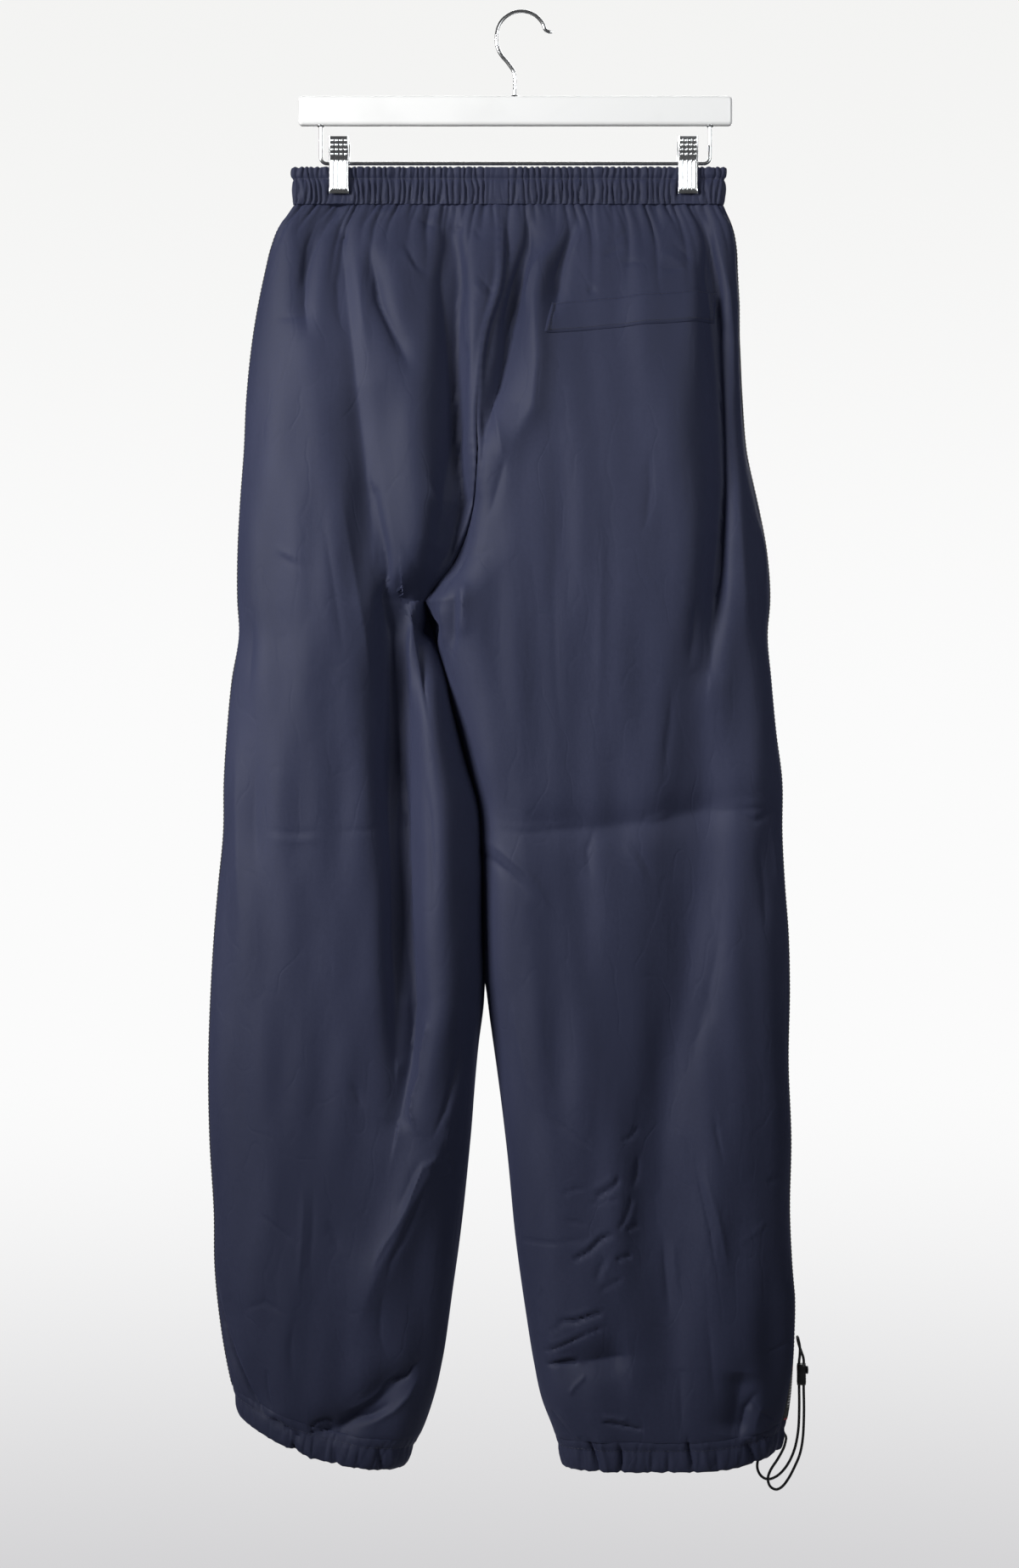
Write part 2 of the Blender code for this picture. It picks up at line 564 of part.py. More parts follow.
def build_waistband(collection, finish):
    """The elastic waistband: gathered outside, plain inside, with a scalloped top edge."""
    steps = 2 * BAND_GATHERS
    bottom = WAIST_SEAM + SEAM_GAP / 2
    heights = np.array([BAND_TOP, BAND_TOP - BAND_STITCHED, BAND_TOP - BAND_FULLEST, bottom])
    proud = np.array(BAND_PROUD)
    grid, direction = ring(WAIST_LOOP, heights, lambda length: np.linspace(0, length, steps + 1))
    wave = np.where(np.arange(grid.shape[1]) % 2 == 0, -1.0, 1.0)
    at_back = grid[1, :, 1] < 0
    plain = at_back & (np.abs(grid[1, :, 0] - PLAIN_CENTRE) < PLAIN_HALF_WIDTH)
    wave[plain] = 0.0
    offset = proud[:, None] + BAND_GATHER_DEPTH * wave[None, :]
    outer = grid + direction * offset[:, :, None]
    outer[0, :, 2] += BAND_SCALLOP * wave
    inner = (grid - direction * BAND_INSIDE)[[0, 3]][:, ::4]
    inner[0, :, 2] -= BAND_SCALLOP
    add_gathered_ring("waistband", outer, inner, collection, finish)


def eyelet_seats(side):
    """The points of a casing's middle line, and the outward directions, where its eyelets sit."""
    points, travelled, _ = joined_row("front", side, (HEM_SEAM + HEM_BOTTOM) / 2)
    seats = []
    for place in EYELET_PLACES[side]:
        near = points_along(points, travelled, np.array([place - NORMAL_STEP, place, place + NORMAL_STEP]))
        tangent = near[2] - near[0]
        away = np.array((tangent[1], -tangent[0], 0.0))
        away *= np.sign(away[1]) / np.linalg.norm(away)
        seats.append((near[1], away))
    return seats


def build_hem(side, collection, finish):
    """A hem casing, gathered by the cord inside it; returns its outer grid and directions."""
    steps = 4 * HEM_GATHERS
    heights = np.array([HEM_SEAM - SEAM_GAP / 2, (HEM_SEAM + HEM_BOTTOM) / 2, HEM_BOTTOM])
    proud = np.array([HEM_PROUD, HEM_MIDDLE_PROUD, HEM_BOTTOM_PROUD])
    grid, direction = ring(leg_loop(side), heights, lambda length: np.linspace(0, length, steps + 1))
    wave = np.cos(2 * math.pi * np.arange(grid.shape[1]) / 4)
    for centre, _ in eyelet_seats(side):
        wave[np.linalg.norm(grid[1] - centre, axis=1) < FLAT_AT_EYELETS] = 0.0
    offset = proud[:, None] + HEM_GATHER_DEPTH * np.array(HEM_SWELL)[:, None] * wave[None, :]
    outer = grid + direction * offset[:, :, None]
    inner = (grid - direction * HEM_INSIDE)[[0, 2]][:, ::2]
    add_gathered_ring(f"hem_{side}", outer, inner, collection, finish)


def build_tape(side, panels, collection, finish):
    """The side tape, on the outermost column of the front panel."""
    grid, direction = panels["front", side]
    strip, away = grid[:, :2].copy(), direction[:, :2]
    strip[0, :, 2] -= SEAM_GAP
    strip[-1, :, 2] += SEAM_GAP
    under = strip + away * SEAM_GAP
    over = strip + away * (SEAM_GAP + TAPE_THICKNESS)
    add_shell(f"tape_{side}", over, pull_in(under, False, True), collection, finish)


def build_pocket_edge(side, panels, collection, finish):
    """The edge of a side pocket, which stands away from the front panel beside the tape."""
    grid, direction = panels["front", side]
    level = grid[:, 1, 2]
    rows = np.where((level <= POCKET_EDGE_TOP) & (level >= POCKET_EDGE_BOTTOM))[0]
    strip, away = grid[rows, 1:3].copy(), direction[rows, 1:3]
    step = strip[:, 1] - strip[:, 0]
    clear_of_tape = SEAM_GAP + 2 * TAPE_THICKNESS
    strip[:, 0] += step / np.linalg.norm(step, axis=1, keepdims=True) * clear_of_tape
    share = (POCKET_EDGE_TOP - level[rows]) / (POCKET_EDGE_TOP - POCKET_EDGE_BOTTOM)
    bulge = POCKET_EDGE_END + POCKET_EDGE_BULGE * np.sin(math.pi * share) ** 2
    under = strip + away * SEAM_GAP
    sideways = np.array([SIDE_SIGN[side], 0.0, 0.0])
    over = under + away * POCKET_EDGE_THICKNESS + sideways * bulge[:, None, None]
    add_shell(f"pocket_edge_{side}", over, under, collection, finish)


def build_welt(panels, collection, finish):
    """The back pocket's welt, on the row of cells that is set out for it."""
    grid, direction = panels["back", "right"]
    top = int(np.argmin(np.abs(panel_heights() - POCKET_TOP)))
    columns = np.where((grid[top, :, 0] > WELT_LEFT) & (grid[top, :, 0] < WELT_RIGHT))[0]
    strip, away = grid[top:top + 2, columns], direction[top:top + 2, columns]
    add_shell("back_pocket_welt", strip + away * (SEAM_GAP + WELT_THICKNESS),
              strip + away * SEAM_GAP, collection, finish)


def smooth_route(waypoints, step):
    """Evenly spaced points on a smooth curve through a route's own points."""
    ends = [waypoints[0] * 2 - waypoints[1], *waypoints, waypoints[-1] * 2 - waypoints[-2]]
    dense = []
    for before, start, end, after in zip(ends, ends[1:], ends[2:], ends[3:]):
        for part in np.linspace(0, 1, 16, endpoint=False):
            dense.append(0.5 * (2 * start + (end - before) * part
                                + (2 * before - 5 * start + 4 * end - after) * part ** 2
                                + (3 * start - before - 3 * end + after) * part ** 3))
    dense.append(waypoints[-1])
    dense = np.array(dense)
    travelled = np.concatenate(([0.0], np.cumsum(np.linalg.norm(np.diff(dense, axis=0), axis=1))))
    count = max(2, round(travelled[-1] / step) + 1)
    return points_along(dense, travelled, np.linspace(0, travelled[-1], count))


def add_tube(name, points, diameter, collection, finish):
    """A round wire or cord along the given points."""
    curve = bpy.data.curves.new(name, "CURVE")
    curve.dimensions = "3D"
    curve.bevel_depth = diameter / 2 * MM
    curve.bevel_resolution = 2
    curve.use_fill_caps = True
    spline = curve.splines.new("POLY")
    spline.points.add(len(points) - 1)
    for target, point in zip(spline.points, points):
        target.co = (*(Vector(point) * MM), 1.0)
    curve.materials.append(finish)
    made = bpy.data.objects.new(name, curve)
    collection.objects.link(made)
    return made


def add_box(name, centre, size, collection, finish, bevel=0.0):
    """A box with rounded edges."""
    bpy.ops.mesh.primitive_cube_add(size=1.0, location=Vector(centre) * MM)
    made = bpy.context.object
    made.name = made.data.name = name
    made.scale = Vector(size) * MM
    bpy.ops.object.transform_apply(location=False, rotation=False, scale=True)
    if bevel:
        rounding = made.modifiers.new("rounding", "BEVEL")
        rounding.width = bevel * MM
        rounding.segments = 2
    return settle(made, collection, finish)


def add_cylinder(name, centre, direction, diameter, length, collection, finish):
    """A cylinder about a direction."""
    turned = Vector((0, 0, 1)).rotation_difference(Vector(direction)).to_euler()
    bpy.ops.mesh.primitive_cylinder_add(vertices=20, radius=diameter / 2 * MM, depth=length * MM,
                                        location=Vector(centre) * MM, rotation=turned)
    made = bpy.context.object
    made.name = made.data.name = name
    return settle(made, collection, finish)


def settle(made, collection, finish):
    """Give a new object its material and move it into its collection."""
    if finish is not None:
        made.data.materials.append(finish)
    for current in list(made.users_collection):
        current.objects.unlink(made)
    collection.objects.link(made)
    return made


def combine(target, tool, operation):
    """Cut or join a tool with an EXACT Boolean; the tool becomes a hidden guide."""
    boolean = target.modifiers.new(operation.lower(), "BOOLEAN")
    boolean.operation = operation
    boolean.object = tool
    tool.hide_render = True
    tool.display_type = "WIRE"


def build_cord(side, collection, cord, metal):
    """A hem's two eyelets and the free loop of cord between them."""
    starts = []
    surface = HEM_MIDDLE_PROUD
    for letter, (seat, away) in zip("ab", eyelet_seats(side)):
        ring_centre = seat + away * (surface + SEAM_GAP + EYELET_WIRE)
        build_eyelet(f"eyelet_{side}_{letter}", ring_centre, away, collection, metal)
        start = seat + away * (surface + 2 * SEAM_GAP)
        bend = [start + away * (EYELET_WIRE * 2 + EYELET_BEND * math.sin(turn))
                + np.array((0, 0, EYELET_BEND_TURN[side] * EYELET_BEND * (1 - math.cos(turn))))
                for turn in BEND_TURNS]
        starts.append([start, *bend])
    route = [*starts[0], *(np.array(point) for point in CORD_ROUTES[side]), *reversed(starts[1])]
    add_tube(f"cord_{side}", smooth_route(route, CORD_STEP), CORD_DIAMETER, collection, cord)


def build_eyelet(name, centre, direction, collection, finish):
    """An eyelet's ring, flat on the hem casing."""
    turned = Vector((0, 0, 1)).rotation_difference(Vector(direction)).to_euler()
    bpy.ops.mesh.primitive_torus_add(major_radius=EYELET_RADIUS * MM, minor_radius=EYELET_WIRE * MM,
                                     major_segments=14, minor_segments=6,
                                     location=Vector(centre) * MM, rotation=turned)
    made = bpy.context.object
    made.name = made.data.name = name
    settle(made, collection, finish)


def build_lock(side, centre, collection, cutters, finish):
    """A cord lock: a rounded body with two bores for the cord, and its push knob."""
    body = add_box(f"lock_{side}", centre, (LOCK_WIDTH, LOCK_DEPTH, LOCK_HEIGHT), collection,
                   finish, bevel=LOCK_ROUNDING)
    outward = SIDE_SIGN[side]
    knob_length = LOCK_KNOB_REACH + LOCK_KNOB_ROOT
    knob_centre = (centre[0] + outward * (LOCK_WIDTH / 2 + LOCK_KNOB_REACH - knob_length / 2),
                   centre[1], centre[2] + LOCK_KNOB_RISE)
    knob = add_cylinder(f"lock_knob_{side}", knob_centre, (1, 0, 0), LOCK_KNOB, knob_length,
                        cutters, None)
    combine(body, knob, "UNION")
    for shift in (-LOCK_BORE_SPACING / 2, LOCK_BORE_SPACING / 2):
        bore = add_cylinder(f"lock_bore_{side}_{shift:+.0f}", (centre[0] + shift, centre[1], centre[2]),
                            (0, 0, 1), LOCK_BORE, LOCK_HEIGHT + LOCK_BORE_OVERSHOOT, cutters, None)
        combine(body, bore, "DIFFERENCE")


def build_hanger(collection, cutters, white, metal):
    """The bar with its hook and rod, and the two clips."""
    bar_centre = (HANGER_CENTRE, 0, BAR_TOP - BAR_HEIGHT / 2)
    bar = add_box("hanger_bar", bar_centre, (BAR_LENGTH, BAR_DEPTH, BAR_HEIGHT), collection, white,
                  bevel=BAR_ROUNDING)
    bar_bottom = BAR_TOP - BAR_HEIGHT
    rod_left, rod_right = HANGER_CENTRE - ROD_HALF_SPAN, HANGER_CENTRE + ROD_HALF_SPAN
    bores = ((SHANK_X, BAR_TOP - BORE_DEPTH / 2), (rod_left, bar_bottom + BORE_DEPTH / 2),
             (rod_right, bar_bottom + BORE_DEPTH / 2))
    for number, (x, z) in enumerate(bores):
        bore = add_cylinder(f"bar_bore_{number}", (x, 0, z), (0, 0, 1), WIRE_BORE,
                            BORE_DEPTH + BORE_OVERSHOOT, cutters, None)
        combine(bar, bore, "DIFFERENCE")

    arc_centre = -HOOK_RADIUS + WIRE_DIAMETER / 2
    shank_end = BAR_TOP - BORE_DEPTH + SHANK_CLEAR
    shank = ((SHANK_X, shank_end), (SHANK_X, BAR_TOP))
    arc = [(HOOK_RADIUS * math.cos(math.radians(angle)),
            arc_centre + HOOK_RADIUS * math.sin(math.radians(angle))) for angle in HOOK_ANGLES]
    route = [np.array((x, 0.0, z)) for x, z in (*shank, *HOOK_NECK, *arc, *HOOK_TIP)]
    add_tube("hanger_hook", smooth_route(route, HOOK_STEP), WIRE_DIAMETER, collection, metal)

    rod_top = bar_bottom + BORE_DEPTH - ROD_CLEAR
    left_bend = [(rod_left + ROD_BEND * (1 - math.cos(turn)), ROD_HEIGHT + ROD_BEND * (1 - math.sin(turn)))
                 for turn in BEND_TURNS]
    right_bend = [(rod_left + rod_right - x, z) for x, z in reversed(left_bend)]
    rod = [(rod_left, rod_top), *left_bend, *right_bend, (rod_right, rod_top)]
    add_tube("hanger_rod", [(x, 0.0, z) for x, z in rod], WIRE_DIAMETER, collection, metal)

    for side, x in CLIP_CENTRES.items():
        for face in ("back", "front"):
            build_jaw(f"clip_{side}_{face}", x, FACE_SIGN[face], collection, metal)


def build_jaw(name, x, sign, collection, finish):
    """One jaw: a grip below, a rib that bears on the rod, and a finger pad that flares out above."""
    outside = JAW_GRIP + JAW_THICKNESS
    bearing = WIRE_DIAMETER / 2 + SEAM_GAP
    rib = WIRE_DIAMETER / 2
    outline = ((JAW_GRIP, JAW_BOTTOM), (JAW_GRIP, ROD_HEIGHT - rib), (bearing, ROD_HEIGHT - rib),
               (bearing, ROD_HEIGHT + rib), (JAW_GRIP, ROD_HEIGHT + rib), (JAW_GRIP + JAW_FLARE, JAW_TOP),
               (outside + JAW_FLARE, JAW_TOP), (outside, ROD_HEIGHT), (outside, JAW_BOTTOM))
    curve = bpy.data.curves.new(name, "CURVE")
    curve.dimensions = "2D"
    curve.fill_mode = "BOTH"
    curve.extrude = CLIP_WIDTH / 2 * MM
    spline = curve.splines.new("POLY")
    spline.use_cyclic_u = True
    spline.points.add(len(outline) - 1)
    for target, (y, z) in zip(spline.points, outline):
        target.co = (sign * y * MM, z * MM, 0.0, 1.0)
    curve.materials.append(finish)
    made = bpy.data.objects.new(name, curve)
    made.location.x = x * MM
    made.rotation_euler = (math.pi / 2, 0.0, math.pi / 2)
    collection.objects.link(made)


def build():
    """Model the garment and its hanger."""
    for left_over in list(bpy.data.objects):
        bpy.data.objects.remove(left_over, do_unlink=True)
    pants = bpy.data.collections.new("track_pants")
    guides = bpy.data.collections.new("guides")
    bpy.context.scene.collection.children.link(pants)
    bpy.context.scene.collection.children.link(guides)

    navy = material("navy_cloth", (0.036, 0.040, 0.075), 0.85)
    trim = material("black_trim", (0.010, 0.010, 0.012), 0.75)
    white = material("hanger_white", (0.86, 0.86, 0.85), 0.35)
    chrome = material("chromed_wire", (0.72, 0.72, 0.72), 0.22, 1.0)

    panels = build_panels(pants, navy)
    build_waistband(pants, navy)
    build_welt(panels, pants, navy)
    for side in ("left", "right"):
        build_hem(side, pants, navy)
        build_tape(side, panels, pants, trim)
        build_pocket_edge(side, panels, pants, trim)
        build_cord(side, pants, trim, chrome)
        build_lock(side, LOCK_CENTRES[side], pants, guides, trim)
    build_hanger(pants, guides, white, chrome)


build()
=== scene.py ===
"""Looks of the navy track pants on their white clip hanger, seen from the garment's back.

Sizes are in millimetres unless a docstring says metres, and MM turns them into metres. The frame
is the part's own: +Z up, the garment's back to -Y, the origin in the seat of the hanger's hook.
"""
from __future__ import annotations

import logging
import math
from collections.abc import Callable, Sequence
from dataclasses import dataclass, field
from enum import Enum

import bmesh
import bpy
import numpy as np
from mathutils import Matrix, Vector

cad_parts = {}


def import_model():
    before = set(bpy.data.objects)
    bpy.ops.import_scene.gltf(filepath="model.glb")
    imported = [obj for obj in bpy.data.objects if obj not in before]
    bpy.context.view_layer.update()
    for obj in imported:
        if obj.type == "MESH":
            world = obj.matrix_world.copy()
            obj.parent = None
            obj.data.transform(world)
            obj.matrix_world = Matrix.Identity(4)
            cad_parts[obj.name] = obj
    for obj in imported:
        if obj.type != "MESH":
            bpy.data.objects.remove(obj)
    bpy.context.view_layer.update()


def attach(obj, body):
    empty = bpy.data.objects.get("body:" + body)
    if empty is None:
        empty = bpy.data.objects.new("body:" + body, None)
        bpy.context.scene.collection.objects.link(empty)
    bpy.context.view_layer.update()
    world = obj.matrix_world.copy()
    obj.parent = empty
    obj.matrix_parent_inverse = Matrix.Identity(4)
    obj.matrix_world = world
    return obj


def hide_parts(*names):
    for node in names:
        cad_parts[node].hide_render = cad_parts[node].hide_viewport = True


LOG = logging.getLogger("track_pants")
MM = 0.001
BODY = "root"

Array = np.ndarray
Mesh = bpy.types.Mesh
Object = bpy.types.Object
Socket = bpy.types.NodeSocket
Sockets = dict[str, object]
Point = tuple[float, float, float]
Colour = tuple[float, float, float]
Pair = tuple[float, float]


class Half(Enum):
    """One of two halves, by its sign along an axis."""

    @property
    def word(self) -> str:
        """Its name in node names."""
        return self.name.lower()


class Side(Half):
    """The garment's sides along X."""

    LEFT = -1.0
    RIGHT = 1.0


class Face(Half):
    """The garment's faces along Y."""

    BACK = -1.0
    FRONT = 1.0


class Slot(Enum):
    """The record's material slots."""

    CLOTH = "navy_cloth"
    TRIM = "black_trim"
    PLASTIC = "black_plastic"
    HANGER = "hanger_white"
    CHROME = "chromed_wire"


# --- Tables of the garment's sizes ---


def table(text: str) -> list[list[float]]:
    """The numbers in each line of a text."""
    return [[float(word) for word in line.split()] for line in text.strip().splitlines()]


class SizeTable:
    """Sizes against height, read through rows of numbers that start with the height."""

    def __init__(self, columns: str, rows: str) -> None:
        """Start from the names of the columns after the height, and the rows."""
        self.columns = columns.split()
        self.known, *self.values = np.array(sorted(table(rows))).T

    def at(self, name: str, heights: Array | float) -> Array:
        """One column's values at heights, on a smooth curve.

        Args:
            name: The column.
            heights: The heights to read it at.

        Returns:
            The column's value at each height.
        """
        known, values = self.known, self.values[self.columns.index(name)]
        slopes = np.gradient(values, known)
        place = np.clip(heights, known[0], known[-1])
        after = np.clip(np.searchsorted(known, place), 1, len(known) - 1)
        before = after - 1
        step = known[after] - known[before]
        share = (place - known[before]) / step
        rest = 1 - share
        return (values[before] * (1 + 2 * share) * rest ** 2
                + slopes[before] * step * share * rest ** 2
                + values[after] * share ** 2 * (3 - 2 * share)
                + slopes[after] * step * share ** 2 * (share - 1))

    def straight(self, name: str, heights: Array | float) -> Array:
        """One column's values at heights, on straight lines."""
        return np.interp(heights, self.known, self.values[self.columns.index(name)])


OUTLINE = SizeTable("left right", """
-125 -183 165
-132 -185 165
-154 -184.5 164
-172 -196 170
-188 -201.5 173
-209 -206.5 174
-250 -214.5 176
-311 -221.5 179
-353 -223.5 182.5
-394 -226.5 190
-435 -228.5 197.5
-475 -228.5 200
-500 -227 198
-538 -233 201
-580 -237 205
-620 -239.5 210
-661 -240 210
-703 -244 212
-744 -247.5 215
-785 -250 216
-847 -252 215
-908 -251 217
-970 -247.5 216
-1011 -247 218
-1052 -243 221.5
-1094 -236 222
-1125 -228.5 219.5
-1145 -222 216
-1172 -213 210
""")
CENTRE = SizeTable("back front", """
-125 -18 -12
-160 -17.5 -12
-225 -18 -12
-260 -28 -14
-325 -35 -20
-370 -35.5 -28
-405 -39 -40
-430 -47 -53
-450 -58 -64
-475 -79 -79
""")
INSEAM = SizeTable("left right", """
-475 -79 -79
-490 -74.2 -73.6
-507 -69.5 -68.9
-550 -58.1 -57.5
-603 -44.4 -43.8
-640 -34.2 -33.6
-670 -33 -32.4
-730 -32.4 -31.8
-768 -30.6 -29.8
-795 -30.4 -27.4
-831 -34.6 -22.5
-919 -42 -11.5
-980 -48.5 -5.5
-1051 -58.5 4
-1088 -64 10
-1118 -71 16.5
-1143 -80 26
-1172 -96 34
""")
FLARE = SizeTable("left right", """
-125 0 0
-235 0 0
-262 0 1.6
-355 0 1.6
-400 0 0
-1035 0 0
-1065 0 2.5
-1086 0 3.8
-1106 0 5.5
-1152 0 8.5
-1172 0 8.5
""")
FORM = SizeTable("back front side_round inseam_round", """
-125 5.4 5.4 5 30
-154 5.7 5.7 6 30
-170 10 9 12 30
-200 20 16 26 32
-240 31 24 42 36
-300 41 30 58 40
-380 48 35 72 42
-475 48 38 80 42
-560 44 38 78 40
-680 40 37 72 38
-800 38 36 70 42
-950 37 36 70 50
-1080 34 33 62 52
-1147 30 29 55 50
-1172 27 26 50 46
""")


@dataclass(frozen=True)
class Crease:
    """A trough (negative depth) or ridge (positive) in the cloth.

    path holds an x and a height for each of its points. spread is the distance from the path at
    which the crease has mostly died away, and sharpness is 2 for a soft fold and nearer 1 for a
    pressed one. steepness is the share of the spread on the right-hand side of a path that runs
    down. lead is the share of its length over which each end rises, and head the share of its
    length that the rise starts before the path's own end.
    """

    depth: float
    spread: float
    sharpness: float
    path: Sequence[float]
    steepness: float = 1.0
    lead: float = 0.3
    head: float = 0.0

    def relief(self, x: Array, z: Array) -> Array:
        """How far points of a face stand out for this crease.

        Args:
            x: The points' places along X.
            z: The points' heights.

        Returns:
            Each point's rise in millimetres.
        """
        corners = np.array(self.path).reshape(-1, 2)
        steps = np.diff(corners, axis=0)
        lengths = np.linalg.norm(steps, axis=1)
        travelled = np.concatenate(([0.0], np.cumsum(lengths)))
        reach = 3.2 * self.spread
        low, high = corners.min(axis=0) - reach, corners.max(axis=0) + reach
        near = (x > low[0]) & (x < high[0]) & (z > low[1]) & (z < high[1])
        relief = np.zeros_like(x)
        px, pz = x[near], z[near]
        closest, along, width = np.full_like(px, 1e9), np.zeros_like(px), np.full_like(px, self.spread)
        for start, step, length, before in zip(corners, steps, lengths, travelled):
            share = np.clip(((px - start[0]) * step[0] + (pz - start[1]) * step[1]) / length ** 2, 0, 1)
            distance = np.hypot(px - start[0] - share * step[0], pz - start[1] - share * step[1])
            closer = distance < closest
            on_right = step[0] * (pz - start[1]) - step[1] * (px - start[0]) > 0
            width = np.where(closer, self.spread * np.where(on_right, self.steepness, 1.0), width)
            along = np.where(closer, before + share * length, along)
            closest = np.where(closer, distance, closest)
        part = along / travelled[-1]
        fade = ease(part, -self.head, self.lead) * ease(1 - part, -self.head, self.lead)
        relief[near] = self.depth * fade * np.exp(-(closest / width) ** self.sharpness)
        return relief


def ease(value: Array | float, start: float, end: float) -> Array:
    """Smooth rise from 0 at start to 1 at end."""
    share = np.clip((value - start) / (end - start), 0.0, 1.0)
    return share * share * (3 - 2 * share)


def quarter_round(distance: Array, radius: Array) -> Array:
    """Rise of a rounded edge: 0 at the edge itself and 1 from one radius on."""
    return np.sqrt(1 - (1 - np.clip(distance / radius, 0.0, 1.0)) ** 2)


CREASE_DEPTH = 1.1
CREASE_TIGHTNESS = 0.72
CRISP_SPREAD = 2.3
CRISP_LEAD = 0.2
SOFT_LEAD = 0.42


def creases_from(text: str) -> tuple[Crease, ...]:
    """Creases from rows of depth, spread, sharpness and path, drawn tight as in crisp cloth."""
    return tuple(Crease(depth * CREASE_DEPTH, spread * CREASE_TIGHTNESS, max(1.0, sharpness - 0.15), path,
                        lead=CRISP_LEAD if spread < CRISP_SPREAD else SOFT_LEAD)
                 for depth, spread, sharpness, *path in table(text))


def folds_from(text: str) -> tuple[Crease, ...]:
    """Folds from rows of depth, spread, sharpness, steepness and path."""
    return tuple(Crease(depth, spread, sharpness, path, steepness, lead=0.22, head=0.12)
                 for depth, spread, sharpness, steepness, *path in table(text))


# The garment's largest folds, as in the solids: depth, spread, sharpness, steepness, then the path.
FOLDS = {Face.BACK: folds_from("""
-8 8 1.4 1 -158 -160 -167 -186 -172 -217 -173 -240 -170 -262
-7 8 1.4 1 -123 -191 -116 -220 -111 -240 -100 -266 -90 -289
-23 15 1.5 0.55 -58 -158 -56 -195 -56 -237 -55 -283 -52 -351 -47 -397 -57 -436 -78 -468
-17 9 1.4 1 8 -160 5 -194 -1 -228 -9 -257 -13 -283 -18 -306 -29 -345
8 12 1.6 1 40 -172 16 -205 9 -231 12 -283 8 -323 -6 -352
-8 9 1.5 0.6 46 -161 37 -189 30 -217 26 -245
-20 12 1.4 0.7 145 -158 151 -203 156 -251 159 -283 161 -337 162 -380 158 -442 150 -530
-8 22 1.8 1 -126 -305 -121 -421 -113 -480
-10 16 1.6 1 -72 -452 -92 -474 -106 -505 -106 -560 -101 -640
-23 17 1.5 0.35 -95 -478 -91 -538 -89 -606 -87 -675 -86 -744 -84 -798 -88 -845 -97 -888
8 16 2 1 -72 -500 -64 -600 -59 -700 -60 -800 -70 -880
8 15 1.5 1 -50 -860 -64 -912 -90 -962 -114 -1008 -128 -1045
-13 26 1.8 1 143 -500 145 -600 141 -700 128 -800 112 -900 110 -980 121 -1087
-5 14 1.5 1 -10 -655 62 -657 97 -652 148 -642 196 -636
-8 13 1.5 1 -240 -1030 -229 -1080 -203 -1130
-9 13 1.5 1 -171 -1136 -143 -1136 -109 -1107 -84 -1086
-8 13 1.5 1 176 -1090 172 -1120 168 -1142
-7 13 1.5 1 24 -1086 50 -1083 86 -1077
"""), Face.FRONT: folds_from("""
-14 15 1.6 1 -128 -160 -122 -230 -104 -330 -92 -420
-13 14 1.6 1 92 -160 86 -240 66 -330 30 -420
7 15 1.8 1 20 -165 8 -240 -4 -320
-14 20 1.8 1 -150 -500 -146 -640 -150 -780 -140 -900
-13 22 1.8 1 86 -480 90 -640 80 -800 96 -960 110 -1080
8 18 1.8 1 150 -560 140 -700 150 -860
-6 20 1.6 1 -210 -668 -150 -660 -90 -672
-8 15 1.6 1 -190 -1130 -150 -1110 -110 -1120
""")}
